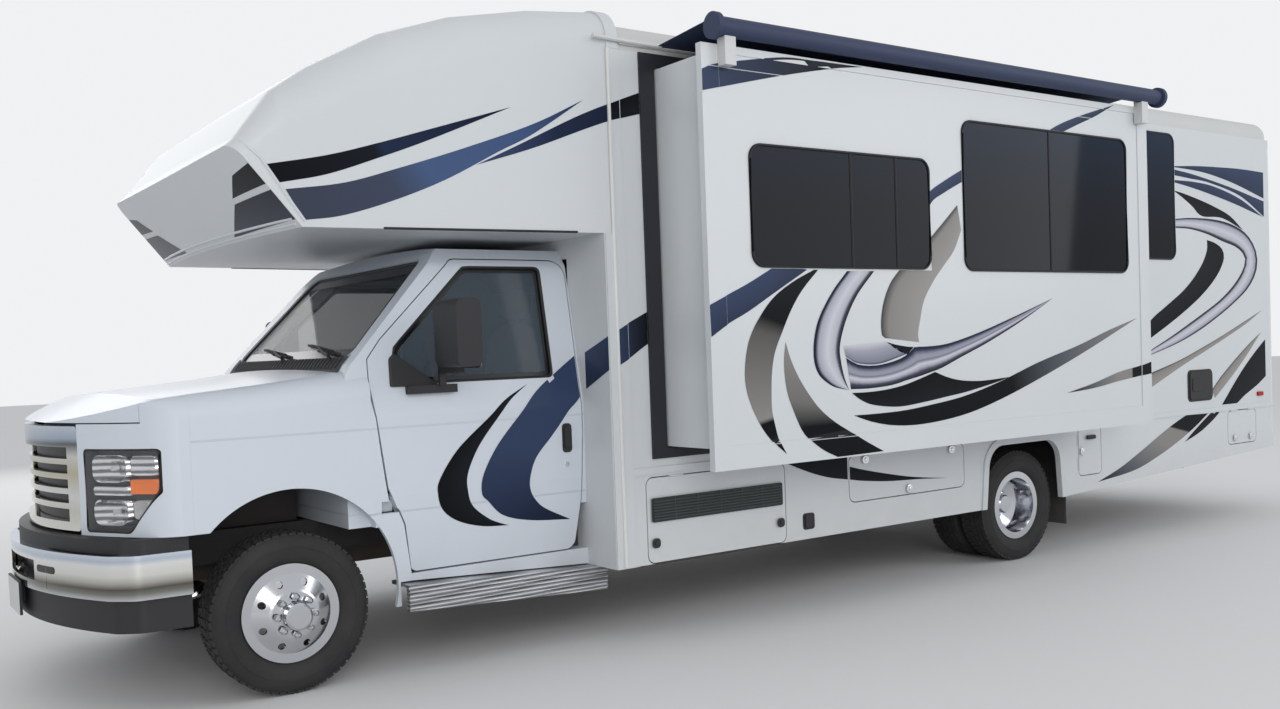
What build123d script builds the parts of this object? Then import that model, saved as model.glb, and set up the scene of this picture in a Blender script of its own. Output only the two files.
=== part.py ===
from build123d import *
import os
from math import cos, hypot, radians, sin, sqrt

# A class C motorhome on a cutaway van chassis, in millimetres.
# +X runs from nose to tail, the driver's side is -Y, and +Z is up.
# While it is modelled, X = 0 is the front axle and Z = 0 the ground.
# At the end everything moves so that the origin is under the middle of the whole vehicle.

# Wheels and axles
wheelbase = 4940
tyre_diameter = 744
tyre_width = 223
bead_diameter = 406
liner_diameter = 455
wheel_seat_width = 152
front_track = 1763
rear_outer_track = 2232
dual_spacing = 254
kingpin_inset = 81.5
kingpin_half_track = front_track / 2 - kingpin_inset
kingpin_radius = 15
spindle_radius = 32
rear_tube_radius = 50
bearing_gap = 0.3
hub_radius = 62

# Cab
cab_half_width = 1008
cab_rear = 1600
cab_wall = 45
cab_crown_top = 2100
nose_front = -900
nose_radius = 1500
nose_corner_radius = 240
nose_bottom = 785
fender_skin = 25
fender_rear = 412
lamp_inner = 600
lamp_outer = 968
lamp_bottom = 800
lamp_top = 1170
lamp_depth = 60
grille_half_width = 560
grille_bottom = 800
grille_top = 1270
hood_half_width = 895
hood_lip = 1285
hood_rear = 290
hood_skin = 25
cowl_height = 1440
hood_pin_x = 270
hood_pin_z = 1455
windscreen_foot_x = 340
windscreen_foot_z = 1500
windscreen_head_x = 850
windscreen_head_z = 2045
glass_thickness = 8
cab_floor_top = 760
cab_floor_thickness = 40
arch_radius = 500
arch_x = 12
arch_z = 445
door_gap = 6
door_pin_x = 505
door_pin_y = 975
door_hinge_heights = (910, 1090)
door_thickness = 62
sill_height = 485
board_front = 528
board_rear = 1656
board_front_top = 440
board_rear_top = 386
engine_length = 720
engine_width = 640
engine_height = 620
engine_front = -450
engine_bottom = 470

# Front bumper
bumper_front = -985
bumper_radius = 1900
bumper_end = -436
bumper_bottom = 530
bumper_top = 722
bumper_wall = 16
bumper_bend = 75
valance_bottom = 385

# Coach body
coach_half_width = 1270
coach_front = 1650
coach_rear = 8250
wall_thickness = 50
skirt_thickness = 30
belt_height = 900
belt_band = 36
belt_proud = 8
skirt_bottom = 390
rear_skirt_bottom = 530
skirt_rise_from = wheelbase + 450
floor_thickness = 60
locker_inner = 800
wall_top = 3060
roof_rise = 175
roof_top = wall_top + roof_rise
roof_edge_radius = 130
roof_crown = 30
roof_thickness = 60
corner_trim = 72
cap_bottom = 2120
cap_wall = 40
cap_brow_radius = 80
arch_trim = 45
rear_arch_front = wheelbase - 380
rear_arch_rear = wheelbase + 405
rear_arch_top = 800

# Chassis
rail_half_width = 432
rail_bottom = 560
rail_height = 160
rail_flange = 65
rail_gauge = 10
rail_front = -905
rail_rear = 8180
receiver_size = 64
receiver_bore = 51
hitch_pin_radius = 8

# Slide-out room and its topper
slide_front = 1957
slide_rear = 5630
slide_bottom = 1004
slide_top = 2980
slide_reach = 480
slide_travel = 420
slide_panel = 36
slide_inner_end = -1190
slide_gap = 12
flange_side = 72
flange_bottom = 900
flange_top = 3010
flange_thickness = 40
flange_band = 110
seal_width = 108
topper_radius = 48
topper_cap_radius = 66
topper_offset = 40
topper_height = 3085
topper_front = 1925
topper_rear = 5790
topper_rail_height = 3095
fabric_thickness = 3

# Windows: x0, x1, z0, z1
window_corner = 75
pane_thickness = 14
slide_windows = [
    (2172, 3519, 1913, 2541),
    (3808, 5458, 1908, 2790),
]
left_windows = [
    (5960, 6842, 2055, 3010),
]
right_windows = [
    (2250, 3150, 1960, 2500),
    (4700, 5150, 2150, 2600),
    (5960, 6842, 2055, 2900),
]
# Compartment doors: name, x0, x1, z0, z1, corner radius
left_hatches = [
    ("hatch_left_front", 1805, 2773, 396, 843, 40),
    ("hatch_left_middle", wheelbase - 1650, wheelbase - 615, 566, 840, 45),
    ("hatch_left_narrow", wheelbase + 616, wheelbase + 882, 520, 852, 35),
    ("hatch_left_rear", 7546, 7975, 592, 856, 45),
]
right_hatches = [
    ("hatch_right_front", 1805, 2773, 470, 843, 40),
    ("hatch_right_rear", 6300, 7400, 592, 856, 40),
]
entry_front = 3700
entry_rear = 4360
entry_bottom = 620
entry_top = 2530
entry_corner = 60

axle_height = tyre_diameter / 2
slide_outer = coach_half_width + slide_reach
inner_wall = coach_half_width - wall_thickness

nodes = {}


def slab(x0, x1, y0, y1, z0, z1):
    """A box between two corners."""
    return Pos((x0 + x1) / 2, (y0 + y1) / 2, (z0 + z1) / 2) * Box(x1 - x0, y1 - y0, z1 - z0)


def across(face, y0, y1):
    """Extrude an outline drawn in X and Z from one side plane to another."""
    return extrude(Plane.XZ.offset(-y1) * face, y1 - y0)


def along(face, x0, x1):
    """Extrude an outline drawn in Y and Z from front to rear."""
    return extrude(Plane.YZ.offset(x0) * face, x1 - x0)


def upright(face, z0, z1):
    """Extrude an outline drawn in X and Y upwards."""
    return extrude(Plane.XY.offset(z0) * face, z1 - z0)


def outline(points, radius=0):
    """A closed face through the points, every corner rounded where a radius is given."""
    if radius:
        return make_face(FilletPolyline(*points, radius=radius, close=True))
    return make_face(Polyline(*points, close=True))


def rounded(x0, x1, z0, z1, radius):
    """A rounded rectangle between two corners."""
    return Pos((x0 + x1) / 2, (z0 + z1) / 2) * RectangleRounded(x1 - x0, z1 - z0, radius)


def mirrored(shape):
    """The same piece on the other side of the vehicle."""
    return mirror(shape, about=Plane.XZ)


def both_sides(shape):
    """A piece and its mirror image, as separate solids of one node."""
    return together([shape, mirrored(shape)])


def together(pieces):
    """Several solids in one node."""
    return Compound([solid for piece in pieces for solid in piece.solids()])


def cylinder_y(x, z, radius, y0, y1):
    """A round bar across the vehicle."""
    return Pos(x, (y0 + y1) / 2, z) * Rot(90, 0, 0) * Cylinder(radius, y1 - y0)


def cylinder_x(y, z, radius, x0, x1):
    """A round bar along the vehicle."""
    return Pos((x0 + x1) / 2, y, z) * Rot(0, 90, 0) * Cylinder(radius, x1 - x0)


def lathe(points, x, y, side):
    """Revolve a profile of (distance outboard, radius) about a wheel's axis."""
    face = make_face(Polyline(*[(side * out, radius) for out, radius in points], close=True))
    return Pos(x, y, axle_height) * revolve(Plane.YZ * face, Axis.Y)


def hoop(half_width, base, top, radius, crown, lean=0):
    """A body section in Y and Z: leaning sides, rounded shoulders and a crowned top."""
    shoulder = half_width - lean
    sides = Polyline(
        (-shoulder, top - crown), (-half_width, base), (half_width, base), (shoulder, top - crown)
    )
    arch = ThreePointArc((shoulder, top - crown), (0, top), (-shoulder, top - crown))
    face = make_face(sides + arch)
    return fillet(face.vertices().sort_by(Axis.Y)[-2:], radius)


# Wheels. Each tyre is a solid ring. The front disc is dished outwards and the rear
# pair is bolted face to face, so the outer one is dished deep inwards.
seat = wheel_seat_width / 2
bead = bead_diameter / 2
barrel = bead - 14
lip = liner_diameter / 2


def tyre(x, y):
    half = tyre_width / 2
    tread = tyre_diameter / 2
    flank = [
        (seat, bead),
        (seat, lip + 3),
        (half, lip + 60),
        (half - 6, tread - 30),
        (half - 36, tread),
    ]
    return lathe(flank + [(-out, radius) for out, radius in reversed(flank)], x, y, 1)


def hand_holes(wheel, x, y, circle, radius):
    for step in range(8):
        angle = radians(45 * step + 22.5)
        wheel -= cylinder_y(
            x + circle * cos(angle), axle_height + circle * sin(angle), radius, y - 200, y + 200
        )
    return wheel


disc_offset = dual_spacing / 2
front_bore = spindle_radius + bearing_gap
front_disc = [
    (-seat, bead - bearing_gap),
    (seat, bead - bearing_gap),
    (seat + bearing_gap, lip),
    (seat + 8, lip),
    (seat + 8, bead - 18),
    (disc_offset - 4, 118),
    (disc_offset, 106),
    (disc_offset + 4, hub_radius + 8),
    (disc_offset + 12, hub_radius),
    (disc_offset + 66, hub_radius),
    (disc_offset + 74, hub_radius - 10),
    (disc_offset + 74, 0),
    (disc_offset + 50, 0),
    (disc_offset + 50, front_bore),
    (disc_offset - 66, front_bore),
    (disc_offset - 66, hub_radius + 10),
    (disc_offset - 14, hub_radius + 14),
    (disc_offset - 16, 112),
    (seat - 12, barrel),
    (-seat, barrel),
]
rear_bore = rear_tube_radius + bearing_gap
rear_pair = [
    (-disc_offset - seat, bead - bearing_gap),
    (-disc_offset + seat, bead - bearing_gap),
    (-14, 140),
    (14, 140),
    (disc_offset - seat, bead - bearing_gap),
    (disc_offset + seat, bead - bearing_gap),
    (disc_offset + seat + bearing_gap, lip),
    (disc_offset + seat + 8, lip),
    (disc_offset + seat + 8, bead - 18),
    (disc_offset - seat + 12, barrel),
    (26, 118),
    (14, 106),
    (14, hub_radius + 22),
    (disc_offset - 14, hub_radius),
    (disc_offset - 4, hub_radius - 8),
    (disc_offset - 4, 0),
    (disc_offset - 36, 0),
    (disc_offset - 36, rear_bore),
    (-80, rear_bore),
    (-80, hub_radius + 22),
    (-14, hub_radius + 22),
    (-14, 106),
    (-26, 118),
    (-disc_offset + seat - 12, barrel),
    (-disc_offset - seat, barrel),
]
rear_pair_y = rear_outer_track / 2 - disc_offset
for side, label in ((-1, "left"), (1, "right")):
    front_y = side * front_track / 2
    pair_y = side * rear_pair_y
    nodes["tyre_front_" + label] = tyre(0, front_y)
    nodes["rim_front_" + label] = hand_holes(lathe(front_disc, 0, front_y, side), 0, front_y, 152, 17)
    nodes["tyres_rear_" + label] = together(
        [tyre(wheelbase, pair_y + disc_offset), tyre(wheelbase, pair_y - disc_offset)]
    )
    nodes["rims_rear_" + label] = lathe(rear_pair, wheelbase, pair_y, side)

# Steering knuckles: a fork on the kingpin and the spindle that carries the wheel.
fork_half = 85
for side, label in ((-1, "left"), (1, "right")):
    y0 = kingpin_half_track
    plate = slab(-45, 45, y0 + 38, y0 + 58, axle_height - fork_half, axle_height + fork_half)
    upper = slab(-34, 34, y0 - 34, y0 + 40, axle_height + fork_half - 35, axle_height + fork_half)
    lower = slab(-34, 34, y0 - 34, y0 + 40, axle_height - fork_half, axle_height - fork_half + 35)
    pin = Pos(0, y0, axle_height) * Cylinder(kingpin_radius, 2 * fork_half)
    spindle_end = front_track / 2 + disc_offset + 45
    spindle = cylinder_y(0, axle_height, spindle_radius, y0 + 50, spindle_end)
    knuckle = plate + upper + lower + pin + spindle
    nodes["knuckle_" + label] = knuckle if side > 0 else mirrored(knuckle)

# Axles, springs, gearbox and driveshaft under the frame.
rail_centre = rail_half_width - rail_flange / 2
beam = slab(-35, 35, -kingpin_half_track, kingpin_half_track, axle_height - 30, axle_height + 30)
for y0 in (-kingpin_half_track, kingpin_half_track):
    beam += Pos(0, y0, axle_height) * Cylinder(36, 90)
for y0 in (-kingpin_half_track, kingpin_half_track):
    beam -= Pos(0, y0, axle_height) * Cylinder(kingpin_radius + bearing_gap, 200)
for y0 in (-rail_centre, rail_centre):
    beam += Pos(0, y0, (axle_height + 30 + rail_bottom) / 2) * Cylinder(52, rail_bottom - axle_height - 30)
axle_end = rear_pair_y + disc_offset - 40
rear_axle = cylinder_y(wheelbase, axle_height, rear_tube_radius, -axle_end, axle_end)
rear_axle += cylinder_y(wheelbase, axle_height, 165, -95, 95)
rear_axle += Pos(wheelbase - 200, 0, axle_height) * Rot(0, 90, 0) * Cone(60, 120, 160)
spring_top = axle_height + rear_tube_radius + 50
for y0 in (-rail_centre, rail_centre):
    rear_axle += slab(wheelbase - 700, wheelbase + 700, y0 - 32, y0 + 32, spring_top - 22, spring_top)
    rear_axle += slab(wheelbase - 480, wheelbase + 480, y0 - 32, y0 + 32, spring_top - 38, spring_top - 20)
    rear_axle += slab(wheelbase - 90, wheelbase + 90, y0 - 45, y0 + 45, axle_height, spring_top - 36)
    for x0 in (wheelbase - 700, wheelbase + 640):
        rear_axle += slab(x0, x0 + 60, y0 - 26, y0 + 26, spring_top - 2, rail_bottom)
gearbox = slab(engine_front + engine_length + 30, 1150, -170, 170, 430, 620)
shaft_start = (1150, 520)
shaft_end = (wheelbase - 280, axle_height)
shaft_line = Line((shaft_start[0], 0, shaft_start[1]), (shaft_end[0], 0, shaft_end[1]))
shaft = sweep(Plane(shaft_line @ 0, z_dir=shaft_line % 0) * Circle(42), path=shaft_line)
shaft -= rear_axle
nodes["axles"] = together([beam, rear_axle, gearbox, shaft])

# Ladder frame: two channel rails, cross members, body sills and the tow receiver.
rail_top = rail_bottom + rail_height
rail = slab(rail_front, rail_rear, rail_half_width - rail_flange, rail_half_width, rail_bottom, rail_top)
rail -= slab(
    rail_front - 1,
    rail_rear + 1,
    rail_half_width - rail_flange - 1,
    rail_half_width - rail_gauge,
    rail_bottom + rail_gauge,
    rail_top - rail_gauge,
)
# Members and sills lie face to face on the rails, as they are riveted and bolted there.
frame = [rail, mirrored(rail)]
inner_rail = rail_half_width - rail_gauge
for x0 in (-700, 1300, 2700, 4000, 5900, 7100):
    member = slab(x0, x0 + 60, -inner_rail, inner_rail, rail_bottom + 40, rail_top - 20)
    frame.append(member - rail - mirrored(rail))
floor_bottom = belt_height - floor_thickness
sill_places = [1690, 2840, 3190, 4380, 5440, 6180, 7430, 8060]
for x0 in sill_places:
    frame.append(slab(x0, x0 + 50, -1180, 1180, rail_top, floor_bottom))
for y0 in (-inner_rail, engine_width / 2):
    mount = slab(-130, -50, y0, y0 + inner_rail - engine_width / 2, rail_bottom + 30, rail_bottom + 90)
    frame.append(mount - rail - mirrored(rail))
receiver_y = receiver_size / 2
receiver_z = rail_bottom - 60
receiver_rear = 8420
receiver = slab(8080, 8140, -rail_half_width, rail_half_width, receiver_z - receiver_y, rail_bottom)
receiver += slab(
    8080, receiver_rear, -receiver_y, receiver_y, receiver_z - receiver_y, receiver_z + receiver_y
)
receiver_hole = receiver_bore / 2
receiver -= slab(
    8150,
    receiver_rear + 1,
    -receiver_hole,
    receiver_hole,
    receiver_z - receiver_hole,
    receiver_z + receiver_hole,
)
hitch_pin_x = receiver_rear - 64
receiver -= cylinder_y(hitch_pin_x, receiver_z, hitch_pin_radius, -receiver_size, receiver_size)
frame.append(receiver)
nodes["chassis_frame"] = together(frame)

# The engine is closed in: one plain block at its real place.
nodes["engine_block"] = slab(
    engine_front,
    engine_front + engine_length,
    -engine_width / 2,
    engine_width / 2,
    engine_bottom,
    engine_bottom + engine_height,
)

# Exhaust, tanks and mud flaps hang from the frame and the floor.
exhaust_y = -560
exhaust = cylinder_x(exhaust_y, 600, 30, 1200, 8120) + cylinder_x(exhaust_y, 600, 88, 2560, 3160)
for x0 in (sill_places[0], sill_places[2], sill_places[4], sill_places[7]):
    exhaust += slab(x0 + 10, x0 + 40, exhaust_y - 10, exhaust_y + 10, 620, rail_top)
fuel_tank = slab(5930, 6900, -350, 350, 380, rail_bottom + 40)
waste_tank = slab(5900, 7150, -1120, -620, 430, rail_top)
water_tank = slab(2900, 3560, 520, 1180, 500, rail_top)
flap_front = sill_places[4]
flap = slab(flap_front, flap_front + 10, 760, 1235, 190, rail_top)
nodes["underbody"] = together([exhaust, fuel_tank, waste_tank, water_tank, flap, mirrored(flap)])

# Nose of the cab. The outer form is lofted through four sections and trimmed in plan
# by the round front; the skin is what lies outside the same form made smaller.
nose_sections = [
    (-1000, 975, 1240, 70),
    (-560, 1000, 1402, 100),
    (-100, 1006, 1442, 120),
    (450, cab_half_width, 1502, 130),
]


def nose_form(inset):
    sections = [
        Plane.YZ.offset(x0) * hoop(width - inset, 600, top - inset, radius - inset / 2, 26)
        for x0, width, top, radius in nose_sections
    ]
    form = loft(sections, ruled=True)
    radius = nose_radius - inset
    centre = nose_front + nose_radius
    edge = cab_half_width + 3 - inset
    corner_x = centre - sqrt(radius**2 - edge**2)
    plan = make_face(
        ThreePointArc((corner_x, -edge), (centre - radius, 0), (corner_x, edge))
        + Polyline((corner_x, edge), (3000, edge), (3000, -edge), (corner_x, -edge))
    )
    corners = [v for v in plan.vertices() if v.X < 2000]
    plan = fillet(corners, nose_corner_radius - inset)
    return form & upright(plan, 500, 1700)


nose_skin = nose_form(0) - nose_form(fender_skin)
nose_skin &= slab(-1100, fender_rear, -1100, 1100, nose_bottom, 1600)
hood_zone = slab(-1100, hood_rear, -hood_half_width, hood_half_width, hood_lip, 1600)
hood = nose_skin & hood_zone
# Each hood hinge: a pin across a slot in the hood's skin, held by an arm of the cab shell.
hood_arm_face = outline([
    (hood_pin_x - 6, hood_pin_z),
    (hood_pin_x - 6, 1385),
    (hood_rear + 13, 1345),
    (hood_rear + 13, 1400),
    (hood_pin_x + 6, 1425),
    (hood_pin_x + 6, hood_pin_z),
])
hood_arms = []
for y0 in (-640, 600):
    hood -= slab(hood_pin_x - 18, hood_rear + 10, y0 - 10, y0 + 50, 1300, hood_pin_z + 9)
    hood += cylinder_y(hood_pin_x, hood_pin_z, 3.5, y0 - 30, y0 + 70)
    arm = across(hood_arm_face, y0, y0 + 40) + cylinder_y(hood_pin_x, hood_pin_z, 7, y0, y0 + 40)
    hood_arms.append(arm - cylinder_y(hood_pin_x, hood_pin_z, 3.5 + bearing_gap, y0 - 1, y0 + 41))
nodes["hood"] = hood
fender_zone_hole = slab(
    -1100, fender_rear + 10, -hood_half_width - door_gap, hood_half_width + door_gap, hood_lip - door_gap, 1600
)
fenders = nose_skin - fender_zone_hole
fenders -= slab(-1100, 0, -grille_half_width, grille_half_width, 0, 1600)
fenders -= slab(0, 1000, -hood_half_width, hood_half_width, 0, 1600)
lamp_corner = 130
lamp_face = outline([
    (lamp_inner, lamp_bottom),
    (lamp_outer - lamp_corner, lamp_bottom),
    (lamp_outer, lamp_bottom + 180),
    (lamp_outer, lamp_top),
    (lamp_inner, lamp_top),
], 18)
lamp_cutter = along(lamp_face, -1000, -300)
wheel_arch = cylinder_y(arch_x, arch_z, arch_radius, -1200, 1200)
fenders -= wheel_arch
fenders -= lamp_cutter + mirrored(lamp_cutter)
nodes["front_fenders"] = together([fenders])

# Headlamps follow the round of the nose and stand just inside the panel's edge.
nose_centre = nose_front + nose_radius
lamp_band = nose_form(0) - nose_form(lamp_depth)
headlamp = lamp_band & along(offset(lamp_face, -bearing_gap), -1000, -300)

# Chrome grille: an outer frame on the nose's curve, a second frame inside it and bars.
grille_depth = 45
grille_band = upright(
    Pos(nose_centre, 0) * (Circle(nose_radius) - Circle(nose_radius - grille_depth)), 500, 1600
)
grille_skin = upright(
    Pos(nose_centre, 0) * (Circle(nose_radius - 14) - Circle(nose_radius - 30)), 500, 1600
)
grille_edge = 60
opening_left = -grille_half_width
frame_face = rounded(opening_left, -opening_left, grille_bottom, grille_top, 20)
frame_hole = rounded(
    opening_left + grille_edge, -opening_left - grille_edge, grille_bottom + 40, grille_top - 95, 12
)
grille = grille_band & along(frame_face - frame_hole, -1000, -500)
bar_count = 4
bar_pitch = (grille_top - 95 - grille_bottom - 40) / (bar_count + 1)
for index in range(bar_count):
    bar_z = grille_bottom + 40 + bar_pitch * (index + 1)
    bar_face = Pos(0, bar_z) * Rectangle(2 * grille_half_width - 80, 26)
    grille += grille_skin & along(bar_face, -1000, -500)
for y0 in (-grille_half_width + 90, grille_half_width - 90):
    post_face = Pos(y0, (grille_bottom + grille_top) / 2 - 30) * Rectangle(44, grille_top - grille_bottom - 80)
    grille += grille_skin & along(post_face, -1000, -500)
nodes["grille"] = grille

# Chrome bumper: a channel that follows its own round and turns back at the corners.
bumper_centre = bumper_front + bumper_radius
bumper_corner = 900
bumper_side = 990


def bumper_plan(inset):
    radius = bumper_radius - inset
    edge = bumper_side - inset
    corner_x = bumper_centre - sqrt(radius**2 - bumper_corner**2)
    plan = make_face(
        ThreePointArc((corner_x, -bumper_corner), (bumper_centre - radius, 0), (corner_x, bumper_corner))
        + Polyline(
            (corner_x, bumper_corner),
            (corner_x + 90, edge),
            (bumper_end, edge + 8),
            (bumper_end, -edge - 8),
            (corner_x + 90, -edge),
            (corner_x, -bumper_corner),
        )
    )
    bends = [v for v in plan.vertices() if v.X < bumper_end - 10]
    return fillet(bends, bumper_bend - inset / 2)


bumper = upright(bumper_plan(0), bumper_bottom, bumper_top)
bumper -= upright(bumper_plan(bumper_wall), bumper_bottom - 1, bumper_top - bumper_wall)
bumper -= upright(bumper_plan(bumper_wall), bumper_bottom, bumper_top + 1) & slab(rail_front, 0, -900, 900, 0, 1000)
bumper -= slab(-1100, -850, -330, 330, bumper_bottom + 45, bumper_top - 55)
for y0 in (-460, 340):
    bumper += slab(rail_front - 25, rail_front, y0, y0 + 120, bumper_bottom + 20, bumper_top - 15)
nodes["front_bumper"] = bumper

# Black fascia above the bumper, valance below it and the bare plate holder.
fascia = upright(bumper_plan(40), bumper_top, nose_bottom - 1) - upright(bumper_plan(110), 0, 1600)
valance = upright(bumper_plan(24), valance_bottom, bumper_bottom) - upright(bumper_plan(50), 0, 1600)
holder = slab(bumper_front - 14, bumper_front - 2, -155, 155, 392, bumper_bottom + 20)
bracket = slab(bumper_front - 3, bumper_front + 40, -60, 60, 440, bumper_bottom)
nodes["front_fascia"] = together([fascia, valance + holder + bracket])


# Cab shell: the outer form less the same form made smaller, then the openings.
def cab_section(inset):
    half = cab_half_width - inset
    roof_z = cab_crown_top - inset
    sides = Polyline(
        (-half + 130, 1985),
        (-half, 1240),
        (-half, 860),
        (-half + 20, sill_height - 15),
        (half - 20, sill_height - 15),
        (half, 860),
        (half, 1240),
        (half - 130, 1985),
    )
    crown = ThreePointArc((half - 200, roof_z - 32), (0, roof_z), (-half + 200, roof_z - 32))
    shoulders = Line((half - 130, 1985), (half - 200, roof_z - 32)) + Line(
        (-half + 200, roof_z - 32), (-half + 130, 1985)
    )
    face = make_face(sides + shoulders + crown)
    return fillet(face.vertices().sort_by(Axis.Y)[-4:-2], 60)


def cab_profile(inset):
    return outline([
        (hood_rear + 12 + inset, sill_height - 20),
        (hood_rear + 12 + inset, cowl_height - inset / 2),
        (windscreen_foot_x + inset * 0.6, windscreen_foot_z - inset),
        (windscreen_head_x + inset * 0.6, windscreen_head_z - inset * 0.6),
        (windscreen_head_x + 90, cab_crown_top + 20),
        (cab_rear + 10, cab_crown_top + 20),
        (cab_rear + 10, sill_height - 20),
    ])


def cab_form(inset, rear=cab_rear):
    return along(cab_section(inset), hood_rear, rear) & across(cab_profile(inset), -1100, 1100)


floor_bottom_z = cab_floor_top - cab_floor_thickness
door_points = [
    (586, sill_height + 2),
    (1522, sill_height),
    (1566, 735),
    (1588, 1106),
    (1588, 2010),
    (930, 2010),
    (500, 1612),
    (424, 1520),
    (420, 1400),
    (482, 904),
    (560, 720),
]
# Corner radii of the door's outline, by the number of the point.
door_radii = {0: 40, 1: 60, 4: 90, 5: 60}
door_outline = outline(door_points)
for index, radius in door_radii.items():
    corner = door_outline.vertices().sort_by_distance((*door_points[index], 0))[0]
    door_outline = fillet(corner, radius)
door_hole = offset(door_outline, door_gap, kind=Kind.INTERSECTION)
window_points = [
    (1440, 1392),
    (1440, 1975),
    (985, 1975),
    (560, 1575),
    (535, 1450),
    (560, 1392),
]
window_face = outline(window_points, 28)

windscreen_slope = Plane(
    origin=(windscreen_foot_x, 0, windscreen_foot_z),
    x_dir=(0, -1, 0),
    z_dir=(-(windscreen_head_z - windscreen_foot_z), 0, windscreen_head_x - windscreen_foot_x),
)
slope_length = hypot(windscreen_head_x - windscreen_foot_x, windscreen_head_z - windscreen_foot_z)


def windscreen_face(gap):
    return outline([
        (-860 + gap, 45 + gap),
        (860 - gap, 45 + gap),
        (745 - gap, slope_length - 30 - gap),
        (-745 + gap, slope_length - 30 - gap),
    ], 60)


shell = cab_form(0) - cab_form(cab_wall, cab_rear + 50)
shell -= slab(hood_rear - 10, cab_rear + 20, -1100, 1100, 0, floor_bottom_z)
fender_room = nose_form(-bearing_gap) & slab(0, fender_rear, hood_half_width - 3, 1100, 0, 1700)
fender_room += slab(0, fender_rear, cab_half_width - 10, 1100, 0, 1400)
shell -= fender_room + mirrored(fender_room)
kick_panel = slab(hood_rear + 12, fender_rear, -940, -880, floor_bottom_z, 1380)
kick_panel += slab(fender_rear, 455, -990, -880, floor_bottom_z, 1380)
shell += kick_panel + mirrored(kick_panel)
shell -= across(door_hole, -1100, -700) + across(door_hole, 700, 1100)
shell -= extrude(windscreen_slope.offset(-150) * windscreen_face(0), 250)
shell -= slab(500, cab_rear + 20, -1100, 1100, 0, floor_bottom_z + 1)
shell -= wheel_arch & slab(0, 520, -1100, 1100, 0, 700)
# The jamb is scooped where the front corner of the opening door swings past it.
sweep_low = 840
sweep_high = 1405
sweep_room = Pos(door_pin_x, -door_pin_y, (sweep_low + sweep_high) / 2) * Cone(40, 95, sweep_high - sweep_low)
sweep_room += Pos(door_pin_x, -door_pin_y, (sill_height + sweep_low) / 2) * Cylinder(68, sweep_low - sill_height)
shell -= sweep_room + mirrored(sweep_room)
# Behind the wheel the panel runs down to the running board. Its rear edge and the door's
# front edge are rounded about the hinge pin, so that the gap between them stays narrow.


def pin_cone(low, high, low_x, high_x, gap):
    """Room round the door's pin that reaches its front edge's outer corner."""
    reach = [hypot(x0 - door_pin_x, cab_half_width - door_pin_y) - gap for x0 in (low_x, high_x)]
    return Pos(door_pin_x, -door_pin_y, (low + high) / 2) * Cone(reach[0], reach[1], high - low)


leg_top = 784
leg_wall = 25
leg_face = make_face(Polyline(
    (370, leg_top),
    (540, leg_top),
    (574, 715),
    (590, sill_height - 6),
    (590, board_front_top + 6),
    (524, board_front_top + 6),
    (524, 330),
    (370, 330),
    (370, leg_top),
))
leg = across(leg_face, -cab_half_width, -cab_half_width + leg_wall) - wheel_arch
leg_room = pin_cone(720, 800, 560, 526, 5.5) + pin_cone(sill_height - 160, 720, 604, 560, 5.5)
leg = (leg & slab(300, door_pin_x, -1100, -900, 300, leg_top)) + (leg & leg_room)
rocker_top = sill_height - 6
rocker_face = make_face(Polyline(
    (560, rocker_top),
    (cab_rear, rocker_top),
    (cab_rear, board_rear_top + 8),
    (560, board_front_top + 6),
    (560, rocker_top),
))
leg += across(rocker_face, -1000, -985) + slab(640, cab_rear, -1000, -905, rocker_top - 14, rocker_top)
shell += leg + mirrored(leg)
# Door hinges: arms from the kick panel hold the door's pins.
for z0 in door_hinge_heights:
    arm = slab(door_pin_x - 8, door_pin_x + 8, -door_pin_y, -925, z0 - 25, z0 + 25)
    arm += slab(420, door_pin_x + 8, -935, -925, z0 - 25, z0 + 25)
    arm += Pos(door_pin_x, -door_pin_y, z0) * Cylinder(11, 50)
    arm -= Pos(door_pin_x, -door_pin_y, z0) * Cylinder(6 + bearing_gap, 60)
    shell += arm + mirrored(arm)
for arm in hood_arms:
    shell += arm
nodes["cab_shell"] = shell
nodes["windscreen"] = extrude(windscreen_slope.offset(-24) * windscreen_face(0.3), glass_thickness)

# Cab doors are cut from the cab's own form, so they carry its lean and its roof curve.
door_form = cab_form(0) - cab_form(door_thickness, cab_rear + 50)
left_door = door_form & across(door_outline, -1100, -700)
left_door -= across(window_face, -1100, -700)
left_door = left_door.solids().sort_by(SortBy.VOLUME)[-1]
left_door -= pin_cone(720, 800, 560, 526, 0) + pin_cone(sill_height - 5, 720, 586, 560, 0)
for z0 in door_hinge_heights:
    left_door -= slab(400, door_pin_x + 25, -door_pin_y - 20, -900, z0 - 40, z0 + 40)
    left_door += Pos(door_pin_x, -door_pin_y, z0) * Cylinder(6, 120)
pane_form = cab_form(18) - cab_form(18 + glass_thickness, cab_rear + 50)
pane_gap = 0.3
pane_face = outline([(x * 1.0, z) for x, z in window_points], 28)
pane_face = offset(pane_face, -pane_gap)
left_pane = pane_form & across(pane_face, -1100, -700)
left_pane = left_pane.solids().sort_by(SortBy.VOLUME)[-1]
handle = slab(1478, 1530, -cab_half_width - 14, -cab_half_width + 4, 1030, 1110)
left_door += handle
nodes["cab_door_left"] = left_door
nodes["cab_glass_left"] = left_pane
nodes["cab_door_right"] = mirrored(left_door)
nodes["cab_glass_right"] = mirrored(left_pane)

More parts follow.
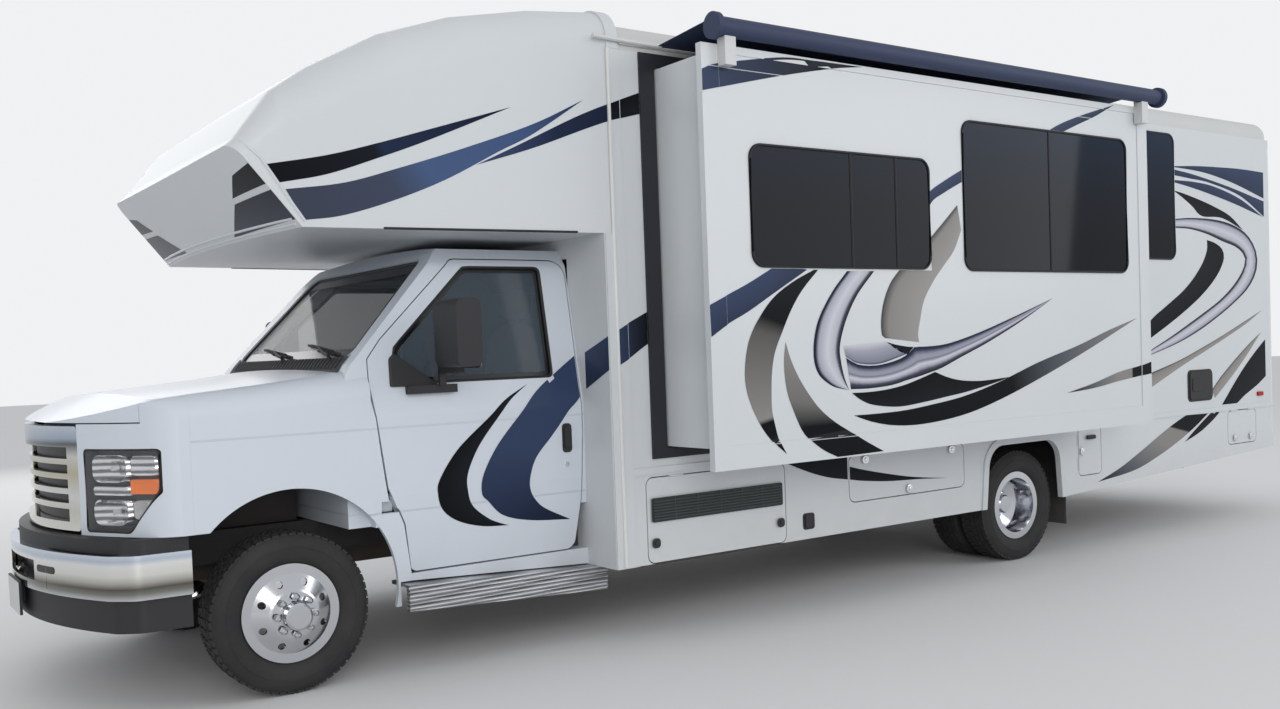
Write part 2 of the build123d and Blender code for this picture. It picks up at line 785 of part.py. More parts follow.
# Mirror heads on bent arms from a foot under the door's window.
head_face = Pos(770, 1630) * RectangleRounded(130, 325, 40)
head = across(head_face, -1350, -1110)
arm = slab(760, 795, -1230, -1020, 1440, 1475)
foot = slab(600, 860, -1026, -960, 1345, 1385)
post = slab(760, 795, -1040, -1020, 1380, 1475)
stem = slab(760, 795, -1230, -1195, 1440, 1500)
mirror_left = head + stem + arm + post + foot - cab_form(0)
nodes["mirror_left"] = mirror_left
nodes["mirror_right"] = mirrored(mirror_left)

# Cab floor with the engine's raised cover, and the pedestals of the two seats.
cab_inner = cab_half_width - cab_wall - 30
cab_floor = slab(520, cab_rear, -cab_inner, cab_inner, floor_bottom_z, cab_floor_top)
tunnel = slab(hood_rear + 65, 960, -300, 300, floor_bottom_z, 1080) - slab(
    0, 925, -265, 265, 0, 1045
)
toe_face = outline([
    (520, floor_bottom_z),
    (520, cab_floor_top),
    (hood_rear + 12 + cab_wall, cab_floor_top + 200),
    (hood_rear + 12 + cab_wall, floor_bottom_z + 200),
])
cab_floor += across(toe_face, -878, 878)
cab_floor -= slab(0, 925, -265, 265, 0, 1045)
cab_floor += tunnel
seat_y = 430
seat_front = 960
for y0 in (-seat_y, seat_y):
    cab_floor += slab(1030, 1400, y0 - 190, y0 + 190, cab_floor_top - 1, 900)
for y0 in (-905, 825):
    cab_floor += slab(640, cab_rear, y0, y0 + 80, rocker_top - 14, floor_bottom_z + 1)
nodes["cab_floor"] = cab_floor

# Seat cushions and backs, plain here.
seat = Pos(1220, -seat_y, 965) * Box(500, 500, 129.4)
back_face = outline([(1400, 960), (1510, 960), (1580, 1700), (1480, 1700)], 30)
seat += across(back_face, -seat_y - 240, -seat_y + 240)
headrest_face = outline([(1485, 1680), (1570, 1680), (1590, 1890), (1510, 1890)], 25)
seat += across(headrest_face, -seat_y - 130, -seat_y + 130)
nodes["cab_seats"] = both_sides(seat)

# Dashboard with the steering column and wheel fixed to it.
dash_front = hood_rear + 12 + cab_wall
dash_face = outline([
    (dash_front, 1130), (620, 1130), (660, 1220), (640, 1370), (520, 1425), (dash_front, 1410),
])
dash = across(dash_face, -850, 850)
wheel_plane = Plane(origin=(800, -seat_y, 1290), x_dir=(0, 1, 0), z_dir=(0.82, 0, 0.57))
ring_face = Plane.XZ * Pos(185, 0) * RegularPolygon(15, 6)
steering = wheel_plane * (revolve(ring_face, Axis.Z) + Cylinder(48, 46) + Box(350, 26, 16))
column = wheel_plane * Pos(0, 0, -100) * Cylinder(34, 180)
nodes["dashboard"] = dash + steering + column

# Running boards: a ribbed step along each door.


def board_strip(top, bottom, y0, y1):
    """A strip that falls to the rear with the board."""
    fall = board_front_top - board_rear_top
    return across(
        outline([
            (board_front, board_front_top - bottom),
            (board_front, board_front_top - top),
            (board_rear, board_front_top - fall - top),
            (board_rear, board_front_top - fall - bottom),
        ]),
        y0,
        y1,
    )


board = board_strip(0, 18, -1090, -890) + board_strip(0, 125, -1090, -1060)
for drop in (20, 46, 72, 98):
    board += board_strip(drop, drop + 12, -1098, -1089)
for x0 in (620, 1440):
    board += slab(x0, x0 + 60, -915, -890, 380, rocker_top - 14)
nodes["running_boards"] = both_sides(board)


# Coach body. Skirts below the belt, laminated walls above it.
def arch_outline(grow):
    return outline([
        (rear_arch_front - 45 - grow, skirt_bottom - 200),
        (rear_arch_front + 25 - grow, rear_arch_top + grow),
        (rear_arch_rear - 25 + grow, rear_arch_top + grow),
        (rear_arch_rear + 20 + grow, skirt_bottom - 200),
    ], 150 + grow)


def skirt(hatches, doorway):
    """One side's skirt, drawn on the driver's side."""
    face = outline([
        (coach_front, belt_height),
        (coach_front, skirt_bottom),
        (skirt_rise_from, skirt_bottom),
        (coach_rear, rear_skirt_bottom),
        (coach_rear, belt_height),
    ])
    y0 = -coach_half_width
    panel = across(face, y0, y0 + skirt_thickness)
    panel += slab(coach_front + corner_trim, coach_rear, y0 - belt_proud, y0, belt_height - belt_band, belt_height)
    ring = across(arch_outline(arch_trim) & face, y0 - belt_proud - 2, y0)
    panel += ring
    panel -= across(arch_outline(0), y0 - 100, y0 + 100)
    for name, x0, x1, z0, z1, radius in hatches:
        hole = rounded(x0 - door_gap, x1 + door_gap, z0 - door_gap, z1 + door_gap, radius + door_gap)
        panel -= across(hole, y0 - 1, y0 + 100)
    if doorway:
        panel -= across(
            rounded(entry_front - door_gap, entry_rear + door_gap, entry_bottom - door_gap, 2000, entry_corner),
            y0 - 100,
            y0 + 100,
        )
    return panel


def butt_hinge(length, leaf, pin_radius, barrel_radius):
    """Fixed and moving halves about an X axis at the origin. The panels lie at +Y, the fixed
    leaf points up and the moving leaf down."""
    third = length / 3
    fixed = slab(-length / 2, length / 2, hinge_stand - 2, hinge_stand + 0.5, 0.5, leaf)
    for x0 in (-length / 2, length / 2 - third):
        fixed += cylinder_x(0, 0, barrel_radius, x0, x0 + third)
        fixed += slab(x0, x0 + third, 0, hinge_stand, 0, barrel_radius)
    fixed -= slab(-third / 2, third / 2, -hinge_stand, hinge_stand + 1, -barrel_radius, barrel_radius)
    fixed += cylinder_x(0, 0, pin_radius, -length / 2, length / 2)
    moving = slab(-length / 2, length / 2, hinge_stand - 2, hinge_stand + 0.5, -leaf, -barrel_radius - 1)
    knuckle_half = third / 2 - bearing_gap
    moving += slab(-knuckle_half, knuckle_half, 0, hinge_stand, -barrel_radius - 2, 0)
    moving += cylinder_x(0, 0, barrel_radius, -knuckle_half, knuckle_half)
    moving -= cylinder_x(0, 0, pin_radius + bearing_gap, -length, length)
    return fixed, moving


hinge_stand = 5
hatch_hinge = butt_hinge(90, 16, 2.5, 4.5)
entry_hinge = butt_hinge(120, 30, 2.5, 4.5)
upright_turn = Rot(0, -90, 0)
skirt_hinges = {-1: [], 1: []}


def hatch_doors(hatches, side):
    """The compartment doors of one side, drawn on the driver's side, with their hinges."""
    for name, x0, x1, z0, z1, radius in hatches:
        door = across(rounded(x0, x1, z0, z1, radius), -coach_half_width, -coach_half_width + skirt_thickness - 5)
        pin_y = -coach_half_width - hinge_stand
        if name == "hatch_left_narrow":
            places = [Pos(x0 - door_gap / 2, pin_y, z) * upright_turn for z in (z0 + 80, z1 - 80)]
        else:
            inset = (x1 - x0) / 5
            places = [Pos(x, pin_y, z1 + door_gap / 2) for x in (x0 + inset, x1 - inset)]
        for place in places:
            skirt_hinges[side].append(place * hatch_hinge[0])
            door += place * hatch_hinge[1]
        nodes[name] = door if side < 0 else mirrored(door)


hatch_doors(left_hatches, -1)
hatch_doors(right_hatches, 1)
left_skirt = skirt(left_hatches, False)
for half in skirt_hinges[-1]:
    left_skirt += half
right_skirt = skirt(right_hatches, True)
for half in skirt_hinges[1]:
    right_skirt += half
nodes["skirt_left"] = left_skirt
nodes["skirt_right"] = mirrored(right_skirt)
front_hatch = left_hatches[0]
vent = slab(1828, 2745, -coach_half_width - 1, -coach_half_width + 6, 612, 735)
nodes[front_hatch[0]] -= vent

# Lockers: tubs behind the compartment doors, under the floor.
tubs = []
for hatches, side in ((left_hatches, -1), (right_hatches, 1)):
    for name, x0, x1, z0, z1, radius in hatches:
        tub = slab(x0 - 20, x1 + 20, -coach_half_width + skirt_thickness, -locker_inner, z0 - 20, floor_bottom)
        tub -= slab(x0 - 8, x1 + 8, -coach_half_width, -locker_inner - 12, z0 - 8, floor_bottom + 1)
        tubs.append(tub if side < 0 else mirrored(tub))
nodes["lockers"] = together(tubs)


def wall(windows):
    """One side's laminated wall with its windows cut, drawn on the driver's side."""
    panel = slab(coach_front, coach_rear, -coach_half_width, -inner_wall, belt_height, wall_top)
    for x0, x1, z0, z1 in windows:
        panel -= across(rounded(x0, x1, z0, z1, window_corner), -coach_half_width - 1, -inner_wall + 1)
    return panel


left_wall = wall(left_windows)
left_wall -= slab(
    slide_front - slide_gap,
    slide_rear + slide_gap,
    -coach_half_width - 1,
    -inner_wall + 1,
    slide_bottom - slide_gap,
    slide_top + slide_gap,
)
for x0 in (2400, 3750, 5100):
    left_wall += slab(
        x0, x0 + 100, -coach_half_width, -inner_wall, slide_bottom - slide_gap - 1, slide_bottom - bearing_gap
    )
nodes["side_wall_left"] = left_wall
right_wall = mirrored(wall(right_windows))
entry_hole = rounded(
    entry_front - door_gap, entry_rear + door_gap, entry_bottom - door_gap, entry_top + door_gap, entry_corner + door_gap
)
right_wall -= across(entry_hole, 1000, 1400)
entry_hinge_places = [
    Pos(entry_front - door_gap / 2, -coach_half_width - hinge_stand, z) * upright_turn
    for z in (1150, 1750, 2350)
]
for place in entry_hinge_places:
    right_wall += mirrored(place * entry_hinge[0])
nodes["side_wall_right"] = right_wall


def panes(windows, outer):
    """Tinted panes that stand a little proud of the wall."""
    fits = []
    for x0, x1, z0, z1 in windows:
        face = rounded(
            x0 + pane_gap, x1 - pane_gap, z0 + pane_gap, z1 - pane_gap, window_corner - pane_gap
        )
        fits.append(across(face, -outer - 4, -outer - 4 + pane_thickness))
    return together(fits)


nodes["coach_windows"] = together(
    [panes(left_windows, coach_half_width), mirrored(panes(right_windows, coach_half_width))]
)

entry_panel = across(
    rounded(entry_front, entry_rear, entry_bottom, entry_top, entry_corner), inner_wall + 8, coach_half_width
)
entry_window = rounded(entry_front + 130, entry_rear - 130, 1720, 2330, 50)
entry_panel -= across(entry_window, inner_wall, coach_half_width + 10)
entry_panel += slab(entry_rear - 110, entry_rear - 40, coach_half_width - 2, coach_half_width + 26, 1250, 1330)
for place in entry_hinge_places:
    entry_panel += mirrored(place * entry_hinge[1])
nodes["entry_door"] = entry_panel
nodes["entry_glass"] = across(
    rounded(entry_front + 130.3, entry_rear - 130.3, 1720.3, 2329.7, 49.7), inner_wall + 18, inner_wall + 26
)

# Floor, with a step well inside the entry door.
floor_panel = slab(coach_front, coach_rear - wall_thickness, -inner_wall, inner_wall, floor_bottom, belt_height)
well_inner = 860
floor_panel -= slab(entry_front, entry_rear, well_inner, inner_wall + 1, floor_bottom - 1, belt_height + 1)
floor_panel += slab(entry_front, entry_rear, well_inner - 20, inner_wall, entry_bottom, entry_bottom + 20)
floor_panel += slab(entry_front, entry_rear, well_inner - 20, well_inner, entry_bottom, floor_bottom + 1)
nodes["coach_floor"] = floor_panel

# Front wall between cab and coach, with the corner trims that cover the wall's edge.
surround = slab(cab_rear, coach_front, -coach_half_width, coach_half_width, skirt_bottom, cap_bottom)
surround -= slab(cab_rear - 1, coach_front + 1, -900, 900, floor_bottom, cab_crown_top - 80)
surround -= slab(cab_rear - 1, coach_front + 1, -600, 600, 0, rail_top + 5)
trim = slab(
    coach_front - 1,
    coach_front + corner_trim,
    -coach_half_width - belt_proud,
    -coach_half_width,
    skirt_bottom,
    wall_top,
)
trim += slab(cab_rear + 4, coach_front, -coach_half_width - belt_proud, -coach_half_width, skirt_bottom, cap_bottom)
nodes["cab_surround"] = surround + trim + mirrored(trim)

rear_wall = slab(coach_rear - wall_thickness, coach_rear, -inner_wall, inner_wall, floor_bottom, wall_top)
nodes["rear_wall"] = rear_wall

# Roof: one crowned moulding with rounded edges, closed at the rear.
roof_form = along(hoop(coach_half_width, wall_top, roof_top, roof_edge_radius, roof_crown), coach_front, coach_rear)
rear_edges = roof_form.edges().filter_by_position(Axis.X, coach_rear - 1, coach_rear + 1)
rear_edges = rear_edges.filter_by_position(Axis.Z, wall_top + 20, roof_top + 10)
roof = fillet(rear_edges, 70)
roof -= along(
    hoop(inner_wall, wall_top - 1, roof_top - roof_thickness, roof_edge_radius - 40, roof_crown),
    coach_front - 1,
    coach_rear - wall_thickness,
)
roof += slab(
    coach_front + corner_trim + 5,
    topper_rear + 60,
    -coach_half_width - 16,
    -coach_half_width + 3,
    topper_rail_height - 9,
    topper_rail_height + 9,
)
nodes["roof"] = roof

# Cap over the cab, lofted from nose to tail and cut by the sloping bowed front face.
cap_sections = [
    (-330, 1100, 2390, 60, 10),
    (-186, 1116, 2520, 110, 14),
    (0, 1128, 2752, 190, 8),
    (190, 1138, 2884, 240, 6),
    (540, 1168, 3086, 250, 26),
    (900, 1202, 3205, 240, 30),
    (1300, 1240, 3275, 210, 30),
    (coach_front, coach_half_width, 3300, 180, 30),
]


def cap_form(inset):
    sections = [
        Plane.YZ.offset(x0) * hoop(width - inset, 2000 + inset, top - inset, radius - inset / 2, crown)
        for x0, width, top, radius, crown in cap_sections
    ]
    return loft(sections, ruled=True)


def cap_plan(z, corner_x, half, bow):
    """The cap's plan at one height: a bowed front and straight sides running back."""
    return Plane.XY.offset(z) * make_face(
        ThreePointArc((corner_x, -half), (corner_x - bow, 0), (corner_x, half))
        + Polyline((corner_x, half), (3000, half), (3000, -half), (corner_x, -half))
    )


def cap_front(inset):
    slant = (98 + 186) / (2497 - 2147)
    low, high = 2000, 3450
    low_x = 98 + (2147 - low) * slant + inset
    high_x = -186 - (high - 2497) * slant + inset
    return loft([cap_plan(low, low_x, 1400, 125), cap_plan(high, high_x, 1400, 125)], ruled=True)


cap_outer = cap_form(0) & cap_front(0)
brow = cap_outer.edges().filter_by_position(Axis.X, -400, 60)
brow = [edge for edge in brow if edge.length > 1500 and edge.bounding_box().min.Z > 2480]
cap_outer = fillet(brow, cap_brow_radius)
cap_inner = cap_form(cap_wall) & cap_front(cap_wall * 1.2)
cap_outer &= slab(-1000, coach_front, -1400, 1400, cap_bottom, 3500)
cap_inner &= slab(-1000, coach_front + 10, -1400, 1400, cap_bottom + cap_wall, 3500)
cap = cap_outer - cap_inner
hook = along(hoop(coach_half_width + belt_proud, wall_top + 1, 3308, 185, 30), coach_front, coach_front + corner_trim)
hook -= along(
    hoop(coach_half_width + bearing_gap, wall_top - 20, roof_top + bearing_gap, roof_edge_radius, roof_crown),
    coach_front - 1,
    coach_front + corner_trim + 1,
)
cap += hook
nodes["front_cap"] = cap

# Slide-out room: a flanged outer wall on a box that runs on pads in the opening.
flange_outer = (slide_front - flange_side, slide_rear + flange_side, flange_bottom, flange_top)
outer_panel = slab(
    flange_outer[0],
    flange_outer[1],
    -slide_outer,
    -slide_outer + flange_thickness,
    flange_bottom,
    flange_top,
)
outer_panel -= slab(
    flange_outer[0] + flange_band,
    flange_outer[1] - flange_band,
    -slide_outer - 1,
    -slide_outer + 6,
    flange_bottom + flange_band + 10,
    flange_top - 40,
)
for x0, x1, z0, z1 in slide_windows:
    outer_panel -= across(
        rounded(x0, x1, z0, z1, window_corner), -slide_outer - 1, -slide_outer + flange_thickness + 1
    )
nodes["slide_wall"] = outer_panel
nodes["slide_windows"] = panes(slide_windows, slide_outer - 6)
slide_box = slab(
    slide_front, slide_rear, -slide_outer + flange_thickness, slide_inner_end, slide_bottom, slide_top
)
slide_box -= slab(
    slide_front + slide_panel,
    slide_rear - slide_panel,
    -slide_outer,
    slide_inner_end + 1,
    slide_bottom + slide_panel,
    slide_top - slide_panel,
)
nodes["slide_box"] = slide_box
seal = slab(
    slide_front - seal_width,
    slide_rear + seal_width - 10,
    -coach_half_width - 12,
    -coach_half_width,
    slide_bottom - 61,
    wall_top,
)
seal -= slab(
    slide_front - slide_gap,
    slide_rear + slide_gap,
    -coach_half_width - 13,
    -coach_half_width + 1,
    slide_bottom - slide_gap,
    slide_top + slide_gap,
)
nodes["slide_seal"] = seal

# Topper roller on two brackets, and the fabric stretched back to the rail on the roof's edge.
roller_y = -slide_outer - topper_offset
roller = cylinder_x(roller_y, topper_height, topper_radius, topper_front + 30, topper_rear - 30)
roller += cylinder_x(roller_y, topper_height, topper_cap_radius, topper_front, topper_front + 30)
roller += cylinder_x(roller_y, topper_height, topper_cap_radius, topper_rear - 30, topper_rear)
for x0 in (1990, 5560):
    roller += slab(x0, x0 + 70, roller_y - 20, -slide_outer - bearing_gap, flange_top - 110, topper_height)
nodes["topper_roller"] = roller
fabric_inner = -coach_half_width - 16 - bearing_gap
fabric_face = make_face(
    Polyline(
        (fabric_inner, topper_rail_height),
        (fabric_inner, topper_rail_height + fabric_thickness),
        (roller_y, topper_height + topper_radius + bearing_gap + fabric_thickness),
        (roller_y, topper_height + topper_radius + bearing_gap),
        close=True,
    )
)
nodes["topper_fabric"] = along(fabric_face, topper_front + 35, topper_rear - 35)

# Roof equipment: air conditioner and vent lids.
conditioner_face = Pos(4700, 0) * RectangleRounded(1020, 700, 90)
conditioner = extrude(Plane.XY.offset(roof_top - 12) * conditioner_face, 300, taper=12)
vents = [Pos(x0, 0, roof_top + 40) * Box(420, 420, 100) for x0 in (2450, 6700)]
pipe = Pos(5900, 700, roof_top + 40) * Cylinder(45, 150)
units = together([conditioner] + vents + [pipe])
units -= along(hoop(coach_half_width, wall_top, roof_top, roof_edge_radius, roof_crown), coach_front, coach_rear)
nodes["roof_units"] = units

# Patio awning, stowed on the passenger side: case and two folded arms.
case = cylinder_x(coach_half_width + 75, 2960, 72, 2000, 5800)
awning = case
for x0 in (2000, 5760):
    awning += slab(x0, x0 + 40, coach_half_width, coach_half_width + 75, 2890, 3030)
    awning += slab(x0, x0 + 40, coach_half_width + 30, coach_half_width + 70, 1100, 2960)
    awning += slab(x0 - 10, x0 + 50, coach_half_width, coach_half_width + 70, 1080, 1180)
nodes["patio_awning"] = awning

# Lamps: headlamps, and tail lamps on the rear wall.
tail_face = Pos(0, 0) * RectangleRounded(110, 300, 25)
tail = extrude(Plane.YZ.offset(coach_rear) * (Pos(-1120, 1120) * tail_face), 28)
nodes["lamps"] = together([both_sides(headlamp), both_sides(tail)])

# Rear bumper on two brackets from the frame.
rear_bumper = slab(8300, 8390, -1200, 1200, 560, 670)
for y0 in (-400, 400):
    rear_bumper += slab(rail_rear + 0.3, 8301, y0 - 30, y0 + 30, 580, 650)
nodes["rear_bumper"] = rear_bumper

# Stand the origin under the middle of everything.
whole = Compound(list(solid for shape in nodes.values() for solid in shape.solids()))
box = whole.bounding_box()
place = Location((-(box.min.X + box.max.X) / 2, -(box.min.Y + box.max.Y) / 2, 0))
os.makedirs("parts", exist_ok=True)
for name, shape in nodes.items():
    export_step(shape.moved(place), "parts/" + name + ".step")
print("nodes", len(nodes), "box", box.min, box.max, "moved by", place.position)
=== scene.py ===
import bpy
import bmesh
import math
from mathutils import Matrix, Vector
from mathutils.bvhtree import BVHTree


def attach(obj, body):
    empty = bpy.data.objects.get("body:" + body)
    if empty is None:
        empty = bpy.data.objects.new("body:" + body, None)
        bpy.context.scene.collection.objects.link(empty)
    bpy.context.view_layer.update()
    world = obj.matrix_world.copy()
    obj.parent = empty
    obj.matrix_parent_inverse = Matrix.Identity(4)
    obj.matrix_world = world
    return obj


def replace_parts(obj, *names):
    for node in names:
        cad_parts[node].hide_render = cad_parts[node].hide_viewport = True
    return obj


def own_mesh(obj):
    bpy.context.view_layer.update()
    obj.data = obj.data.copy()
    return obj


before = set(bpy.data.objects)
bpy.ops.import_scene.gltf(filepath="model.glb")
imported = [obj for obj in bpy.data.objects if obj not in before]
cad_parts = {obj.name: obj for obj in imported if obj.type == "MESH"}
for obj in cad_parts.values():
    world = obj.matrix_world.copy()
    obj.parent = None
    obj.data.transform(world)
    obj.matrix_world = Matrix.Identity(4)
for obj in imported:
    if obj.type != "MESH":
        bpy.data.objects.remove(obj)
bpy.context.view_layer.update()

# Studio: a camera where the photographer stood, a pale floor and three soft lamps.
# Sizes below are in metres, with x = 0 at the front axle and y = 0 on the centre line,
# so every piece adds this shift to reach the row frame.
SHIFT = Vector((-3.7105, 0.2195, 0.0))
PHOTO_WIDTH = 1280
PHOTO_MIDDLE_ROW = 354.5
LENS_ROW = 393.7
FOCAL_PIXELS = 1199.3
SENSOR_WIDTH = 36.0
PHOTOGRAPHER = Vector((-1.831, -6.358, 1.507))
scene = bpy.context.scene
scene.view_settings.view_transform = "Standard"
camera_data = bpy.data.cameras.new("camera")
camera = bpy.data.objects.new("camera", camera_data)
scene.collection.objects.link(camera)
yaw, pitch, roll = (math.radians(v) for v in (35.41, -1.99, -2.14))
ahead = Vector((math.sin(yaw) * math.cos(pitch), math.cos(yaw) * math.cos(pitch), math.sin(pitch)))
level_right = Vector((math.cos(yaw), -math.sin(yaw), 0.0))
level_up = level_right.cross(ahead)
right = level_right * math.cos(roll) + level_up * math.sin(roll)
up = level_up * math.cos(roll) - level_right * math.sin(roll)
turn = Matrix((right, up, -ahead)).transposed().to_4x4()
camera.matrix_world = Matrix.Translation(PHOTOGRAPHER + SHIFT) @ turn
camera_data.sensor_width = SENSOR_WIDTH
camera_data.sensor_fit = "HORIZONTAL"
camera_data.lens = FOCAL_PIXELS / PHOTO_WIDTH * SENSOR_WIDTH
camera_data.shift_y = (LENS_ROW - PHOTO_MIDDLE_ROW) / PHOTO_WIDTH
camera_data.clip_end = 200
scene.camera = camera


def plug(tree, value, target):
    if isinstance(value, Sock):
        tree.links.new(value.socket, target)
    else:
        target.default_value = value


class Sock:
    """A shader socket that can be used in sums: each operator adds a Math node."""

    def __init__(self, tree, socket):
        self.tree = tree
        self.socket = socket

    def math(self, operation, *values):
        node = self.tree.nodes.new("ShaderNodeMath")
        node.operation = operation
        for index, value in enumerate(values):
            plug(self.tree, value, node.inputs[index])
        return Sock(self.tree, node.outputs[0])

    def clamp(self):
        return self.math("MAXIMUM", self.math("MINIMUM", self, 1.0), 0.0)


for sign, kind in (("add", "ADD"), ("sub", "SUBTRACT"), ("mul", "MULTIPLY"), ("truediv", "DIVIDE"),
                   ("gt", "GREATER_THAN"), ("lt", "LESS_THAN")):
    setattr(Sock, "__%s__" % sign, lambda a, b, kind=kind: a.math(kind, a, b))
    setattr(Sock, "__r%s__" % sign, lambda a, b, kind=kind: a.math(kind, b, a))


class Graph:
    """A node tree: node() adds any node with its settings first, then its sockets."""

    def node(self, kind, settings=None, sockets=None, out=0):
        made = self.tree.nodes.new(kind)
        for key, value in (settings or {}).items():
            if key == "stops":
                ramp = made.color_ramp
                while len(ramp.elements) < len(value):
                    ramp.elements.new(0.5)
                for element, (position, colour) in zip(ramp.elements, value):
                    element.position = position
                    element.color = (*colour, 1.0)
            else:
                setattr(made, key, value)
        for key, value in (sockets or {}).items():
            plug(self.tree, value, made.inputs[key])
        return Sock(self.tree, made.outputs[out])

    def axes(self, place):
        """X, Y and Z of a vector as numbers."""
        made = self.node("ShaderNodeSeparateXYZ", None, {0: place}).socket.node
        return [Sock(self.tree, part) for part in made.outputs]


class Finish(Graph):
    """One material, read at the piece's Object coordinates."""

    def __init__(self, name):
        self.material = bpy.data.materials.new(name)
        self.material.use_nodes = True
        self.tree = self.material.node_tree
        self.shader = self.tree.nodes["Principled BSDF"]
        self.place = self.node("ShaderNodeTexCoord", out="Object")

    def height(self):
        """Height over the ground."""
        return self.axes(self.place)[2]

    def set(self, **values):
        for key, value in values.items():
            plug(self.tree, value, self.shader.inputs[key.replace("_", " ")])
        return self.material

    def noise(self, scale, detail=2.0, roughness=0.5):
        return self.node("ShaderNodeTexNoise", None, {
            "Vector": self.place, "Scale": scale, "Detail": detail, "Roughness": roughness,
        })

    def mix(self, amount, low, high):
        low, high = (c if isinstance(c, Sock) else (*c, 1.0) for c in (low, high))
        return self.node("ShaderNodeMix", {"data_type": "RGBA"}, {0: amount, 6: low, 7: high}, 2)

    def bump(self, height, strength, distance):
        return self.node("ShaderNodeBump", None, {"Height": height, "Strength": strength, "Distance": distance})


FLOOR_HALF = 60
floor_mesh = bpy.data.meshes.new("floor")
floor_mesh.from_pydata([(x * FLOOR_HALF, y * FLOOR_HALF, 0) for x, y in ((-1, -1), (1, -1), (1, 1), (-1, 1))],
                       [], [(0, 1, 2, 3)])
floor = bpy.data.objects.new("floor", floor_mesh)
scene.collection.objects.link(floor)
floor_mesh.materials.append(Finish("studio_floor").set(Base_Color=(0.74, 0.74, 0.74, 1.0), Roughness=0.8))
world = bpy.data.worlds.new("studio")
scene.world = world
world.use_nodes = True
sky = world.node_tree.nodes
light = sky["Background"]
seen = sky.new("ShaderNodeBackground")
for shade, colour, strength in ((light, (0.93, 0.95, 0.98, 1.0), 0.72), (seen, (0.97, 0.98, 1.0, 1.0), 0.9)):
    shade.inputs["Color"].default_value = colour
    shade.inputs["Strength"].default_value = strength
path = sky.new("ShaderNodeLightPath")
choice = sky.new("ShaderNodeMixShader")
for start, end in (
    (path.outputs["Is Camera Ray"], choice.inputs["Fac"]),
    (light.outputs["Background"], choice.inputs[1]),
    (seen.outputs["Background"], choice.inputs[2]),
    (choice.outputs["Shader"], sky["World Output"].inputs["Surface"]),
):
    world.node_tree.links.new(start, end)
for name, place, target, power, tint in (
    ("key_lamp", (-5, -15, 5.5), (2.5, -1, 1.2), 760, (1.0, 0.98, 0.95)),
    ("fill_lamp", (12, -11, 6), (4.0, -1, 1.5), 320, (0.95, 0.97, 1.0)),
    ("far_lamp", (2, 13, 7), (3.0, 0, 1.5), 320, (1.0, 1.0, 1.0)),
):
    lamp_data = bpy.data.lights.new(name, "AREA")
    lamp_data.size = 8.0
    lamp_data.energy = power
    lamp_data.color = tint
    lamp = bpy.data.objects.new(name, lamp_data)
    scene.collection.objects.link(lamp)
    lamp.location = Vector(place) + SHIFT
    lamp.rotation_euler = (Vector(target) - Vector(place)).to_track_quat("-Z", "Y").to_euler()


# Ladder frame, axles and what hangs under the floor: pressed steel in black chassis paint,
# bolted and welded, and moulded tanks, all with a film of road dust low down.
def dress(material, *nodes):
    """Give carried-over CAD nodes a finish."""
    for node in nodes:
        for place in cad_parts[node].material_slots:
            place.material = material


for name, clean, dusty, high, metallic, nodes in (
    ("frame_black", (0.012, 0.012, 0.013), (0.075, 0.068, 0.06), 0.9, 0.0, ["chassis_frame"]),
    ("raw_iron", (0.05, 0.045, 0.042), (0.11, 0.085, 0.06), 0.8, 0.4,
     ["axles", "knuckle_left", "knuckle_right", "engine_block"]),
    ("tank_plastic", (0.02, 0.02, 0.022), (0.09, 0.085, 0.075), 0.8, 0.0, ["underbody", "lockers"]),
):
    finish = Finish(name)
    height = finish.height()
    grime = finish.noise(9.0, 6.0, 0.65)
    dust = ((high - height) / (high - 0.2)).clamp() * 0.6 + grime * 0.5
    dust = (dust - 0.25).clamp()
    dress(finish.set(
        Base_Color=finish.mix(dust, clean, dusty),
        Roughness=(dust * 0.35 + 0.5).clamp(),
        Metallic=metallic,
        Normal=finish.bump(grime, 0.15, 0.002),
    ), *nodes)


# Tyres: highway tread on six steel-belted tyres, 225 mm wide. The carcass is turned from
# its section and the tread blocks are moulded on it in five ribs.
TYRE_RADIUS = 0.372
TREAD_DEPTH = 0.008
WHEELBASE = 4.94
FRONT_TRACK_HALF = 0.8815
REAR_INNER_Y = 0.862
REAR_OUTER_Y = 1.116
AXLE_Z = 0.372
SIDES = (("left", -1), ("right", 1))


def at(x, y, z):
    return Vector((x, y, z)) + SHIFT


def settle(mesh, name, body, smooth):
    """Link a mesh as a piece that rides on a body, with edges sharp over an angle."""
    mesh.update()
    mesh.polygons.foreach_set("use_smooth", [True] * len(mesh.polygons))
    mesh.set_sharp_from_angle(angle=math.radians(smooth))
    made = bpy.data.objects.new(name, mesh)
    scene.collection.objects.link(made)
    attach(made, body)
    return made


def plain_mesh(name, verts, faces, material):
    mesh = bpy.data.meshes.new(name)
    mesh.from_pydata([tuple(v) for v in verts], [], faces)
    mesh.materials.append(material)
    return mesh


def grid(rows, columns, loop_rows=False, loop_columns=False):
    """Faces of a grid of points that are counted row by row."""
    faces = []
    for i in range(rows if loop_rows else rows - 1):
        a, b = i * columns, (i + 1) % rows * columns
        for k in range(columns if loop_columns else columns - 1):
            after = (k + 1) % columns
            faces.append((a + k, a + after, b + after, b + k))
    return faces


